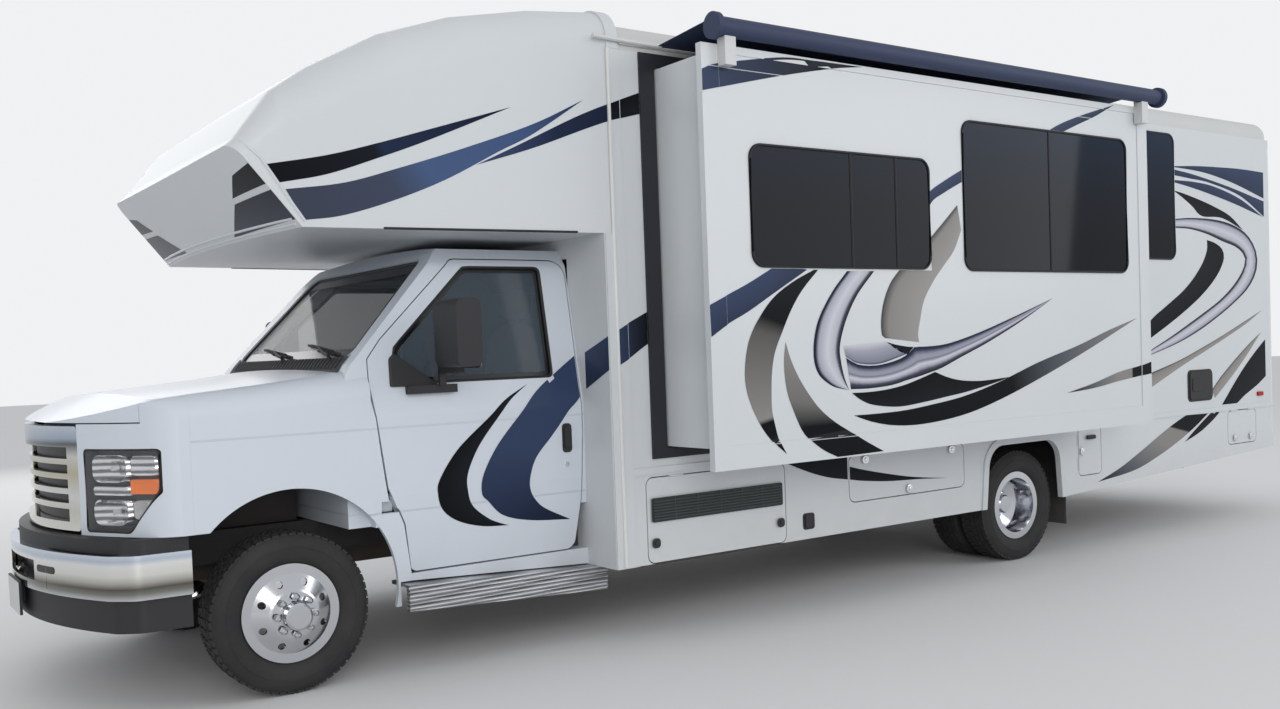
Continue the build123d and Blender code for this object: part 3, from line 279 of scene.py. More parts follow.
class Tree(Graph):
    """A Geometry Nodes tree with named inputs, ending in Realize Instances and Set Material."""

    def __init__(self, name, numbers):
        self.tree = bpy.data.node_groups.new(name, "GeometryNodeTree")
        face = self.tree.interface
        face.new_socket("Geometry", in_out="OUTPUT", socket_type="NodeSocketGeometry")
        self.names = {}
        for label in ("Count", *numbers, "Material"):
            kind = {"Count": "Int", "Material": "Material"}.get(label, "Float")
            item = face.new_socket(label, in_out="INPUT", socket_type="NodeSocket" + kind)
            self.names[label] = item.identifier
        self.given = self.tree.nodes.new("NodeGroupInput")
        self.result = self.tree.nodes.new("NodeGroupOutput")

    def value(self, label):
        return Sock(self.tree, self.given.outputs[label])

    def vector(self, **parts):
        return self.node("ShaderNodeCombineXYZ", None, parts)

    def moved(self, geometry, **change):
        return self.node("GeometryNodeTransform", None, {"Geometry": geometry, **change})

    def ring(self):
        return self.node("GeometryNodeMeshCircle", None,
                         {"Vertices": self.value("Count"), "Radius": self.value("Radius")})

    def finish(self, geometry):
        whole = self.node("GeometryNodeRealizeInstances", None, {0: geometry})
        painted = self.node("GeometryNodeSetMaterial", None,
                            {"Geometry": whole, "Material": self.value("Material")})
        plug(self.tree, painted, self.result.inputs[0])

    def make(self, name, **values):
        """Run the tree on an empty mesh and return the plain mesh it gives."""
        holder = bpy.data.objects.new(name, bpy.data.meshes.new(name))
        scene.collection.objects.link(holder)
        modifier = holder.modifiers.new("nodes", "NODES")
        modifier.node_group = self.tree
        for label, value in values.items():
            modifier[self.names[label]] = value
        bpy.context.view_layer.update()
        seen = holder.evaluated_get(bpy.context.evaluated_depsgraph_get())
        mesh = bpy.data.meshes.new_from_object(seen)
        holder.modifiers.clear()
        bpy.data.objects.remove(holder)
        mesh.name = name
        return mesh


rubber = Finish("tyre_rubber")
rubber_grain = rubber.noise(60.0, 4.0, 0.6)
rubber_dust = (rubber.noise(6.0, 3.0, 0.5) * 1.6 - 0.55).clamp() * 0.5
tyre_rubber = rubber.set(
    Base_Color=rubber.mix(rubber_dust, (0.014, 0.014, 0.015), (0.055, 0.05, 0.045)),
    Roughness=(rubber_grain * 0.15 + 0.68).clamp(),
    Normal=rubber.bump(rubber_grain, 0.12, 0.0006),
)

# One rib of tread: blocks set round the carcass, each turned to face outwards. They are cast
# with the carcass in one mould, so they sink a little into its crown.
tread = Tree("tread_blocks", ("Radius", "Width", "Length", "Depth", "Row", "Turn"))
block = tread.node("GeometryNodeMeshCube", None, {"Size": tread.vector(
    X=tread.value("Length"), Y=tread.value("Width"), Z=tread.value("Depth"))})
bearing = tread.node("GeometryNodeInputIndex") / tread.value("Count") * (2 * math.pi)
block = tread.moved(block, Rotation=tread.vector(X=math.pi / 2, Z=tread.value("Turn")))
placed = tread.node("GeometryNodeInstanceOnPoints", None, {
    "Points": tread.ring(), "Instance": block, "Rotation": tread.vector(Z=bearing + math.pi / 2),
})
tread.finish(tread.moved(placed, Translation=tread.vector(Z=tread.value("Row"))))

CROWN = TYRE_RADIUS - TREAD_DEPTH
BLOCK_SINK = 0.0044
BLOCK_ROOT = 0.003
carcass = [
    (0.206, 0.0752), (0.2295, 0.0752), (0.2325, 0.079), (0.242, 0.0905), (0.262, 0.1025), (0.286, 0.1085),
    (0.300, 0.1095), (0.302, 0.1115), (0.306, 0.1115), (0.308, 0.1095), (0.325, 0.1065), (0.342, 0.1),
    (0.355, 0.091), (CROWN, 0.083), (CROWN, 0.0),
]
section = carcass + [(r, -y) for r, y in reversed(carcass[:-1])] + [(0.205, -0.06), (0.205, 0.06)]
STEPS = 96
angles = [2 * math.pi * step / STEPS for step in range(STEPS)]
verts = [(r * math.cos(angle), y, r * math.sin(angle)) for angle in angles for r, y in section]
faces = [(a, d, c, b) for a, b, c, d in grid(STEPS, len(section), True, True)]
one_tyre = bmesh.new()
one_tyre.from_mesh(plain_mesh("carcass", verts, faces, tyre_rubber))
bmesh.ops.recalc_face_normals(one_tyre, faces=one_tyre.faces)
for row, width, count, length, lean in ((0.0, 0.032, 46, 0.036, 0.0), (-0.039, 0.032, 52, 0.035, 0.16),
                                        (0.039, 0.032, 52, 0.035, -0.16), (-0.0765, 0.027, 58, 0.030, 0.0),
                                        (0.0765, 0.027, 58, 0.030, 0.0)):
    rib = tread.make("rib", Count=count, Radius=CROWN + TREAD_DEPTH / 2 - BLOCK_SINK, Width=width, Length=length,
                     Depth=TREAD_DEPTH + BLOCK_ROOT, Row=row, Turn=lean, Material=tyre_rubber)
    rib.transform(Matrix.Rotation(math.radians(90), 4, "X"))
    one_tyre.from_mesh(rib)
tyre_data = bpy.data.meshes.new("tyre")
one_tyre.to_mesh(tyre_data)
one_tyre.free()
for axle, node, body, places in (
    ("front_tyre_", "tyre_front_", "wheel_front_", [(0, FRONT_TRACK_HALF)]),
    ("rear_tyres_", "tyres_rear_", "wheels_rear_", [(WHEELBASE, REAR_INNER_Y), (WHEELBASE, REAR_OUTER_Y)]),
):
    for side, sign in SIDES:
        both = bmesh.new()
        for x, y in places:
            copy = tyre_data.copy()
            copy.transform(Matrix.Translation(at(x, sign * y, AXLE_Z)))
            both.from_mesh(copy)
        mesh = plain_mesh(axle + side, (), (), tyre_rubber)
        both.to_mesh(mesh)
        both.free()
        mesh.polygons.foreach_set("material_index", [0] * len(mesh.polygons))
        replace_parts(settle(mesh, axle + side, body + side, 32), node + side)


# Wheels: pressed steel rims under stainless liners, pushed on over the rims and held by
# eight nuts round a hub cover.
def metal(name, colour, roughness, wear=0.12, scale=30.0, level=1.0):
    finish = Finish(name)
    marks = finish.noise(scale, 5.0, 0.6)
    # Large darker patches by noise: painted reflection contrast on the polished metal; the same patches raise its
    # roughness a little.
    film = (finish.noise(3.0, 3.0, 0.5) * 1.4 - 0.5).clamp()
    return finish.set(
        Base_Color=finish.mix(film * 0.35, colour, tuple(c * 0.72 for c in colour)),
        Metallic=level,
        Roughness=(marks * wear + film * 0.08 + roughness).clamp(),
    )


dress(metal("liner_steel", (0.64, 0.65, 0.68), 0.06),
      "rim_front_left", "rim_front_right", "rims_rear_left", "rims_rear_right")
nuts = Tree("nut_ring", ("Radius", "Nut", "Height"))
both = nuts.tree.nodes.new("GeometryNodeJoinGeometry")
for corners, low, high, deep, lift in ((6, 1.0, 0.86, 1.0, 0.0), (12, 0.8, 0.35, 0.35, 1.0)):
    cone = nuts.node("GeometryNodeMeshCone", None, {
        "Vertices": corners, "Radius Top": nuts.value("Nut") * high, "Radius Bottom": nuts.value("Nut") * low,
        "Depth": nuts.value("Height") * deep,
    })
    cone = nuts.moved(cone, Translation=nuts.vector(Z=nuts.value("Height") * lift))
    nuts.tree.links.new(cone.socket, both.inputs[0])
nuts.finish(nuts.node("GeometryNodeInstanceOnPoints", None, {
    "Points": nuts.ring(), "Instance": Sock(nuts.tree, both.outputs[0]),
}))
nut_steel = metal("nut_steel", (0.62, 0.63, 0.65), 0.16)
for axle, body, x, y, radius, nut in (("front_nuts_", "wheel_front_", 0, FRONT_TRACK_HALF + 0.143, 0.087, 0.018),
                                      ("rear_nuts_", "wheels_rear_", WHEELBASE, 1.014, 0.092, 0.016)):
    for side, sign in SIDES:
        mesh = nuts.make(axle + side, Count=8, Radius=radius, Nut=nut, Height=0.024, Material=nut_steel.copy())
        mesh.transform(Matrix.Rotation(math.radians(-90 * sign), 4, "X"))
        mesh.transform(Matrix.Translation(at(x, sign * y, AXLE_Z)))
        settle(mesh, axle + side, body + side, 30)


# Cab skin: stamped steel panels, welded and hinged on the van chassis, under white
# clear-coated paint. Body creases are pressed in behind the nose.
def gloss_paint(name, colour, shade, coat, roughness, waviness=0.02, creases=()):
    finish = Finish(name)
    behind_nose = (finish.axes(finish.place)[0] - (SHIFT.x - 0.42)) > 0.0
    relief = finish.noise(2.2, 2.0, 0.4) * (waviness * 0.01)
    for level in creases:
        off = finish.height() - level
        relief = relief + (off * 90.0 + 0.5).clamp() * behind_nose * 0.004
    speck = finish.noise(220.0, 2.0, 0.5)
    low_dust = ((0.75 - finish.height()) * 1.4).clamp() * finish.noise(7.0, 5.0, 0.6)
    tint = finish.mix(finish.noise(1.3, 3.0, 0.5), colour, shade)
    return finish.set(
        Base_Color=finish.mix(low_dust * 0.5, tint, (0.36, 0.34, 0.31)),
        Roughness=(roughness + speck * 0.04 + low_dust * 0.3).clamp(),
        Coat_Weight=coat,
        Coat_Roughness=0.12,
        Normal=finish.bump(relief, 1.0, 1.0),
    )


# The white paint is given a cool blue-grey: painted shade, the blue of sky-lit shade set into its colour.
cab_paint_sky_shaded = gloss_paint("cab_paint_sky_shaded", (0.60, 0.64, 0.70), (0.565, 0.61, 0.675), 0.25, 0.38, 0.02, (1.190, 0.785))
dress(cab_paint_sky_shaded, "cab_shell", "front_fenders", "hood", "cab_door_left", "cab_door_right")

# Front bumper, grille, fascia and steps: chromed steel and chromed plastic round dark
# openings, a moulded fascia with a blank plate, and ribbed aluminium boards on brackets.
chrome = metal("chrome_plate", (0.80, 0.81, 0.83), 0.06, 0.04)
for name, low, high, node, stops in (
    ("bumper_painted_reflections", 0.53, 0.722, "front_bumper", [
        (0.0, (0.60, 0.61, 0.63)), (0.14, (0.24, 0.24, 0.22)), (0.26, (0.13, 0.12, 0.10)),
        (0.40, (0.50, 0.49, 0.45)), (0.55, (0.78, 0.77, 0.72)), (0.78, (0.85, 0.85, 0.84)),
        (0.88, (0.55, 0.62, 0.72)), (1.0, (0.70, 0.76, 0.84))]),
    ("grille_painted_reflections", 0.80, 1.27, "grille", [
        (0.0, (0.82, 0.81, 0.76)), (0.20, (0.70, 0.68, 0.60)), (0.34, (0.80, 0.80, 0.79)),
        (0.55, (0.62, 0.58, 0.42)), (0.70, (0.78, 0.77, 0.73)), (0.82, (0.16, 0.17, 0.18)),
        (0.87, (0.46, 0.54, 0.66)), (1.0, (0.72, 0.78, 0.85))]),
):
    # Level bands are painted reflections: the tones of ground, hedge and sky that such chrome shows, set by height
    # into its colour.
    finish = Finish(name)
    level = (finish.height() - low) / (high - low) + finish.noise(1.6, 2.0, 0.5) * 0.12 - 0.06
    dress(finish.set(
        Base_Color=finish.node("ShaderNodeValToRGB", {"stops": stops}, {"Fac": level.clamp()}),
        Metallic=0.95,
        Roughness=(finish.noise(30.0, 5.0, 0.6) * 0.05 + 0.07).clamp(),
    ), node)


def moulded(name, colour, roughness=0.55, grain=0.25, scale=420.0):
    """Grained moulded plastic, cloth or rubber."""
    finish = Finish(name)
    pits = finish.noise(scale, 2.0, 0.6)
    sun = (finish.noise(2.5, 2.0, 0.5) * 1.3 - 0.3).clamp()
    return finish.set(
        Base_Color=finish.mix(sun * 0.4, colour, tuple(c * 1.5 + 0.006 for c in colour)),
        Roughness=(pits * 0.12 + roughness).clamp(),
        Normal=finish.bump(pits, grain, 0.0005),
    )


def offsets(finish, x, y, z):
    """How far a spot lies from (x, y, z), on each axis."""
    return [spot - middle for spot, middle in zip(finish.axes(finish.place), at(x, y, z))]


black_plastic = moulded("black_plastic", (0.016, 0.016, 0.018))
dress(black_plastic, "mirror_left", "mirror_right")
fascia = Finish("fascia_and_plate")
ahead, across, up = offsets(fascia, -0.994, 0, 0.468)
# The limits are the squares of half the plate's width and height.
on_plate = (ahead < 0.0) * ((across * across) < 0.0232) * ((up * up) < 0.0057)
grain = fascia.noise(420.0, 2.0, 0.6)
dress(fascia.set(
    Base_Color=fascia.mix(on_plate, (0.016, 0.016, 0.018), (0.60, 0.61, 0.60)),
    Roughness=(grain * 0.12 + 0.5).clamp(),
    Normal=fascia.bump(grain, 0.2, 0.0005),
), "front_fascia")
board = Finish("board_rib_shading")
# Each rib's colour runs from dark to light along a sine of height: painted shade in the grooves and painted
# highlight on the crests, beside the bump.
rib = board.place.math("SINE", board.height() * 330.0)
dress(board.set(
    Base_Color=board.mix((rib * 0.5 + 0.5).clamp(), (0.24, 0.245, 0.25), (0.66, 0.67, 0.69)),
    Metallic=0.9,
    Roughness=(board.noise(60.0, 5.0, 0.6) * 0.2 + 0.25).clamp(),
    Normal=board.bump(rib, 0.7, 0.003),
), "running_boards")


SKY_REFLECTION_LOW, SKY_REFLECTION_HIGH = 2.0, 3.1


def glass(name, colour, roughness, alpha, transmission=0.0, sky_colour=None, shine=0.32):
    """Glass of one tint, or darkest at the lower height and shading up to a painted sky reflection in the top
    colour at the upper height.
    """
    finish = Finish(name)
    smear = finish.noise(2.0, 3.0, 0.5)
    if sky_colour:
        rise = ((finish.height() - SKY_REFLECTION_LOW) / (SKY_REFLECTION_HIGH - SKY_REFLECTION_LOW)).clamp()
        tone = finish.mix(rise * rise, colour, sky_colour)
    else:
        tone = finish.mix(smear * 0.3, colour, tuple(c * 1.3 for c in colour))
    return finish.set(
        Base_Color=tone, Roughness=(smear * 0.03 + roughness).clamp(), Specular_IOR_Level=shine, Alpha=alpha,
        Transmission_Weight=transmission, IOR=1.5,
    )


dress(glass("lamp_lens", (0.82, 0.84, 0.86), 0.03, 1.0, 0.85), "lamps")
dress(glass("cab_glass", (0.02, 0.028, 0.03), 0.02, 0.36), "windscreen")
dress(glass("cab_side_glass", (0.075, 0.10, 0.125), 0.02, 0.5), "cab_glass_left", "cab_glass_right")

# Cab interior: grey moulded trim clipped to the dashboard, carpet on the floor, and cloth
# for the seats.
trim_grey = moulded("trim_grey", (0.12, 0.118, 0.115), 0.6)
seat_cloth = moulded("seat_cloth", (0.17, 0.16, 0.15), 0.9, 0.6, 300.0)
dress(trim_grey, "dashboard")
dress(moulded("cab_carpet", (0.05, 0.048, 0.046), 0.9, 0.8, 160.0), "cab_floor")
dress(seat_cloth, "cab_seats")

# Coach body: white gel-coated fibreglass walls and mouldings with a slight print-through,
# bonded to the frame and sealed, with dark tinted glass and a rubber slide-out seal.
# The white gel coat is given a cool grey: painted shade, the tone of sky-lit shade set into its colour.
coach_skin = gloss_paint("coach_gelcoat_sky_shaded", (0.60, 0.625, 0.645), (0.57, 0.60, 0.62), 0.15, 0.38, 0.035)
dress(coach_skin, "side_wall_left", "side_wall_right", "rear_wall", "cab_surround", "front_cap", "entry_door",
      "skirt_left", "skirt_right", "hatch_left_front", "hatch_left_middle", "hatch_left_narrow",
      "hatch_left_rear", "hatch_right_front", "hatch_right_rear", "rear_bumper")
dress(gloss_paint("roof_membrane", (0.58, 0.59, 0.58), (0.52, 0.53, 0.52), 0.1, 0.5, 0.04), "roof", "roof_units")
# The slide-out's gel coat has the same cool grey of painted sky-lit shade.
dress(gloss_paint("slide_gelcoat_sky_shaded", (0.60, 0.625, 0.645), (0.57, 0.60, 0.62), 0.2, 0.34, 0.035),
      "slide_box", "slide_wall")
# The coach glass turns bluer and lighter towards its top: a painted sky reflection.
dress(glass("tinted_glass", (0.004, 0.005, 0.008), 0.03, 1.0, 0.0, (0.012, 0.026, 0.055), 0.12),
      "coach_windows", "entry_glass", "slide_windows")
dress(moulded("seal_rubber", (0.010, 0.012, 0.018), 0.45, 0.1), "slide_seal")
awning_shell = moulded("awning_shell", (0.55, 0.56, 0.56), 0.4)
dress(awning_shell, "patio_awning")
AWNING_NAVY = (0.022, 0.035, 0.085)
roller = Finish("topper_roller_skin")
along, across, up = offsets(roller, 3.8575, -1.79, 3.085)
# The limits are the squares of the tube's radius and of half its length between the caps.
on_tube = (across * across + up * up) < 0.00245
at_cap = (along * along) > 3.591
weave = roller.noise(300.0, 2.0, 0.5)
dress(roller.set(
    Base_Color=roller.mix((on_tube + at_cap).clamp(), (0.58, 0.59, 0.59), AWNING_NAVY),
    Roughness=(weave * 0.15 + 0.5).clamp(),
    Normal=roller.bump(weave, 0.2, 0.0006),
), "topper_roller")
topper_cloth = moulded("topper_cloth", AWNING_NAVY, 0.8, 0.5)
dress(topper_cloth, "topper_fabric")
dress(moulded("floor_board", (0.18, 0.12, 0.07), 0.6), "coach_floor")

# Stripes: cast vinyl film cut to long crescents and laid on the walls, slide-out and hatches.
# Each is trimmed at panel gaps, so it opens with its hatch and rides with its panel.
FILM_GAP = 0.002
RAY_REACH = 4.0


def curve_through(marks, count):
    """Even points on a smooth line through the given ones."""
    spans = [0.0]
    for a, b in zip(marks, marks[1:]):
        spans.append(spans[-1] + max((b - a).length, 1e-6))
    padded = [marks[0] * 2 - marks[1]] + marks + [marks[-1] * 2 - marks[-2]]
    result = []
    for step in range(count + 1):
        s = spans[-1] * step / count
        k = 0
        while k < len(spans) - 2 and s > spans[k + 1]:
            k += 1
        t = (s - spans[k]) / (spans[k + 1] - spans[k])
        p0, p1, p2, p3 = padded[k:k + 4]
        result.append(0.5 * (
            2 * p1 + (p2 - p0) * t + (2 * p0 - 5 * p1 + 4 * p2 - p3) * t * t
            + (3 * p1 - p0 - 3 * p2 + p3) * t * t * t
        ))
    return result


class Skin:
    """Where film lies: the outside of some CAD nodes, met along one direction."""

    def __init__(self, nodes, direction, lift=0.0009):
        verts = []
        faces = []
        for node in nodes:
            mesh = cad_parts[node].data
            start = len(verts)
            verts.extend(v.co.copy() for v in mesh.vertices)
            faces.extend([start + i for i in p.vertices] for p in mesh.polygons)
        self.tree = BVHTree.FromPolygons(verts, faces)
        self.direction = Vector(direction)
        self.lift = lift

    def on(self, point):
        start = Vector(point) - self.direction * RAY_REACH
        hit = self.tree.ray_cast(start, self.direction, 2 * RAY_REACH)[0]
        return None if hit is None else hit - self.direction * self.lift


def joined(parts):
    """Several (points, faces) as one."""
    verts = []
    faces = []
    for more_verts, more_faces in parts:
        start = len(verts)
        verts.extend(more_verts)
        faces.extend(tuple(start + i for i in face) for face in more_faces)
    return verts, faces


def open_piece(name, parts, material, body, outward, smooth=40, uvs=None):
    """A thin open sheet whose faces look the way that outward gives."""
    mesh = plain_mesh(name, *joined(parts), material)
    if uvs:
        layer = mesh.uv_layers.new(name="across")
        for index, uv in enumerate(uvs):
            layer.data[index].uv = uv
    outward = Vector(outward)
    if sum(p.normal.dot(outward) * p.area for p in mesh.polygons) < 0:
        mesh.flip_normals()
    return settle(mesh, name, body, smooth)


def lay_film(name, edges, flat, skin, film, where, cuts, steps, rows):
    """Film between two edge lines. flat() turns (a, b) into a point, cuts are (axis, value) lines
    with a small gap, or (axis, value, 0) with none, and where() names the body under a point,
    or None for no film."""
    first, second = (curve_through(edge, steps) for edge in edges)
    sheet = bmesh.new()
    uv_layer = sheet.loops.layers.uv.new("across")
    spots = []
    for i in range(steps + 1):
        for j in range(rows + 1):
            a, b = first[i].lerp(second[i], j / rows)
            spots.append(sheet.verts.new((a, 0.0, b)))
    for p, s, r, q in grid(steps + 1, rows + 1):
        face = sheet.faces.new([spots[i] for i in (p, q, r, s)])
        for loop, i in zip(face.loops, (p, q, r, s)):
            loop[uv_layer].uv = (i // (rows + 1) / steps, i % (rows + 1) / rows)
    bmesh.ops.remove_doubles(sheet, verts=sheet.verts, dist=1e-5)
    for axis, value, *split in cuts:
        normal = Vector((1, 0, 0) if axis == "a" else (0, 0, 1))
        for side in split or (-FILM_GAP, FILM_GAP):
            bmesh.ops.bisect_plane(
                sheet, geom=sheet.verts[:] + sheet.edges[:] + sheet.faces[:], dist=1e-6,
                plane_co=normal * (value + side), plane_no=normal,
            )
    bodies = {}
    for face in sheet.faces:
        middle = face.calc_center_median()
        body = where(middle.x, middle.z)
        if body:
            bodies.setdefault(body, []).append(face)
    for number, (body, faces) in enumerate(sorted(bodies.items())):
        verts = []
        known = {}
        polys = []
        uvs = []
        for face in faces:
            points = []
            for loop in face.loops:
                if loop.vert not in known:
                    point = skin.on(flat(loop.vert.co.x, loop.vert.co.z))
                    known[loop.vert] = None if point is None else len(verts)
                    if point is not None:
                        verts.append(point)
                points.append(known[loop.vert])
            if None not in points:
                polys.append(points)
                uvs.extend(tuple(loop[uv_layer].uv) for loop in face.loops)
        if polys:
            open_piece(name if number == 0 else "%s_on_%s" % (name, body), [(verts, polys)], film, body,
                       -skin.direction, 40, uvs)
    sheet.free()


def lay_stripes(table, *sides, steps=40, rows=2):
    """Lay each stripe of a table on each side. A stripe is its film, then both edges as a, b, a, b
    in millimetres, and a side is how it names the piece, then flat, skin, where and cuts."""
    for name, (finish, *edges) in table.items():
        edges = [[Vector((a / 1000, b / 1000)) for a, b in zip(edge[::2], edge[1::2])] for edge in edges]
        for label, flat, skin, where, cuts in sides:
            lay_film(label % name, edges, flat, skin, finish, where, cuts, steps, rows)


def film(name, stops, axis="Y", roughness=0.22):
    """Vinyl film whose colour runs along (X) or across (Y) the strip."""
    finish = Finish(name)
    strip = finish.axes(finish.node("ShaderNodeUVMap", {"uv_map": "across"}))
    grain = finish.noise(260.0, 2.0, 0.5)
    return finish.set(
        Base_Color=finish.node("ShaderNodeValToRGB", {"stops": stops}, {"Fac": strip["XY".index(axis)]}),
        Roughness=(grain * 0.06 + roughness).clamp(),
        Metallic=0.0,
        Coat_Weight=0.02,
        Coat_Roughness=0.05,
        Specular_IOR_Level=0.08,
    )


NAVY = (0.034, 0.053, 0.108)
BLACK = (0.004, 0.005, 0.007)
SLATE = (0.10, 0.11, 0.13)
TAUPE = (0.24, 0.23, 0.22)
SILVER = (0.36, 0.37, 0.43)
PALE = (0.55, 0.56, 0.62)
navy_film = film("navy_film", [(0.0, NAVY), (1.0, (0.026, 0.036, 0.072))])
navy_dark = film("navy_to_black", [(0.0, NAVY), (0.55, (0.016, 0.02, 0.036)), (1.0, BLACK)], "X")
black_film = film("black_film", [(0.0, BLACK), (1.0, (0.009, 0.011, 0.015))])
taupe_fade = film("black_to_taupe", [(0.0, BLACK), (0.35, BLACK), (0.42, (0.10, 0.095, 0.09)), (0.8, TAUPE),
                                     (0.82, BLACK), (1.0, BLACK)], "X")
taupe_end = film("taupe_to_black", [(0.0, TAUPE), (0.4, (0.16, 0.155, 0.15)), (0.6, BLACK), (1.0, BLACK)], "X")
black_taupe = film("long_fade", [(0.0, BLACK), (0.5, BLACK), (0.72, SLATE), (1.0, TAUPE)], "X")
taupe_film = film("taupe_film", [(0.0, (0.05, 0.05, 0.05)), (0.2, TAUPE), (1.0, (0.30, 0.29, 0.28))])
tube_film = film("silver_tube", [
    (0.0, BLACK), (0.08, (0.02, 0.025, 0.05)), (0.18, SILVER), (0.5, PALE), (0.78, (0.42, 0.43, 0.48)),
    (0.88, (0.05, 0.055, 0.08)), (1.0, BLACK)], "Y", 0.3)
long_tube = film("silver_hook", [
    (0.0, (0.01, 0.012, 0.03)), (0.12, (0.03, 0.035, 0.07)), (0.3, (0.27, 0.28, 0.34)),
    (0.42, (0.30, 0.31, 0.37)), (0.5, (0.17, 0.18, 0.24)), (0.62, PALE), (0.74, SILVER),
    (0.85, (0.06, 0.065, 0.10)), (1.0, BLACK)], "Y", 0.3)
hook_film = film("hook_shade", [(0.0, (0.55, 0.57, 0.61)), (0.35, (0.33, 0.34, 0.40)),
                                (0.9, (0.20, 0.21, 0.27)), (1.0, (0.04, 0.045, 0.08))], "Y", 0.3)
tip_film = film("tip_fade", [(0.0, BLACK), (0.3, SLATE), (0.6, TAUPE), (0.75, TAUPE), (0.77, BLACK),
                             (1.0, BLACK)], "X")


def inside(a, b, box, margin=0.0):
    return box[0] - margin < a < box[1] + margin and box[2] - margin < b < box[3] + margin


def pane_cuts(panes, margin):
    """Cuts without a gap, just outside each (x0, x1, z0, z1)."""
    return [(axis, pane[i] + side * margin, 0) for pane in panes
            for i, (axis, side) in enumerate((("a", -1), ("a", 1), ("b", -1), ("b", 1)))]


def on_left(a, b):
    return at(a, -1.5, b)


def on_right(a, b):
    return at(a, 1.5, b)


EDGE = 0.004
BAND = (1.885, 5.702, 0.900, 3.010)
BAND_WIDTH = 0.110
BAND_CUTS = [("a", BAND[0] + BAND_WIDTH), ("a", BAND[1] - BAND_WIDTH),
             ("b", BAND[2] + BAND_WIDTH), ("b", BAND[3] - BAND_WIDTH)]
SLIDE_PANES = [(2.172, 3.519, 1.913, 2.541), (3.808, 5.458, 1.908, 2.790)]
SLIDE_CUTS = BAND_CUTS + pane_cuts(SLIDE_PANES, EDGE)
LEFT_PANE = (5.960, 6.842, 2.055, 3.010)
WALL_FOOT = 0.906
SKIRT_TOP = 0.858
slide_face = Skin(["slide_wall"], (0, 1, 0), 0.0016)
wall_face = Skin(["side_wall_left", "cab_surround"], (0, 1, 0))


def on_slide(a, b):
    """The film stops at the flange's edge, at the band round the slide-out and at its windows."""
    if not inside(a, b, BAND, -EDGE) or any(inside(a, b, pane, EDGE) for pane in SLIDE_PANES):
        return None
    if any(abs((a if axis == "a" else b) - value) < FILM_GAP for axis, value in BAND_CUTS):
        return None
    return "slide_out"


def on_wall(a, b):
    return "coach" if b > WALL_FOOT and not inside(a, b, LEFT_PANE, 0.012) else None


HATCHES = {
    "hatch_left_front": (1.808, 2.770, 0.399, 0.84),
    "hatch_left_middle": (3.293, 4.322, 0.569, 0.84),
    "hatch_left_narrow": (5.556, 5.819, 0.523, 0.84),
    "hatch_left_rear": (7.549, 7.972, 0.595, 0.855),
}
HATCH_CUTS = [("a", v) for box in HATCHES.values() for v in box[:2]] + [("b", 0.846)]
SHUT_GAP = 0.006


def on_skirt(a, b):
    """The film stops at the shut lines of the hatches and goes with each hatch."""
    for name, box in HATCHES.items():
        if inside(a, b, box, -FILM_GAP):
            return name
        if inside(a, b, box, SHUT_GAP):
            return None
    return "coach" if b < SKIRT_TOP else None


ENTRY = (3.700, 4.360, 0.620, 2.530)
ENTRY_PANE = (3.81, 4.25, 1.70, 2.35)
RIGHT_PANES = [(2.250, 3.150, 1.960, 2.500), (4.700, 5.150, 2.150, 2.600), (5.960, 6.842, 2.055, 2.900)]
FRIDGE_VENT = (7.050, 7.420, 1.020, 1.450)
RIGHT_HOLES = RIGHT_PANES + [FRIDGE_VENT]
RIGHT_CUTS = [("a", ENTRY[0]), ("a", ENTRY[1]), ("b", ENTRY[3])] + pane_cuts(RIGHT_HOLES, 0.01)
AWNING_ARMS = ((1.990, 2.060), (5.730, 5.810))
AWNING_FOOT = 2.88
WALL_END = 8.20
right_face = Skin(["side_wall_right", "entry_door", "cab_surround"], (0, -1, 0))


def on_right_wall(a, b):
    """The passenger side has the same film, mirrored, across the wall and the entry door."""
    if b < WALL_FOOT or b > AWNING_FOOT or a > WALL_END or any(inside(a, b, hole, 0.01) for hole in RIGHT_HOLES):
        return None
    if any(low < a < high for low, high in AWNING_ARMS):
        return None
    if inside(a, b, ENTRY, -FILM_GAP):
        return None if inside(a, b, ENTRY_PANE) else "entry_door"
    return None if inside(a, b, ENTRY, SHUT_GAP) else "coach"


def on_coach(a, b):
    return "coach"


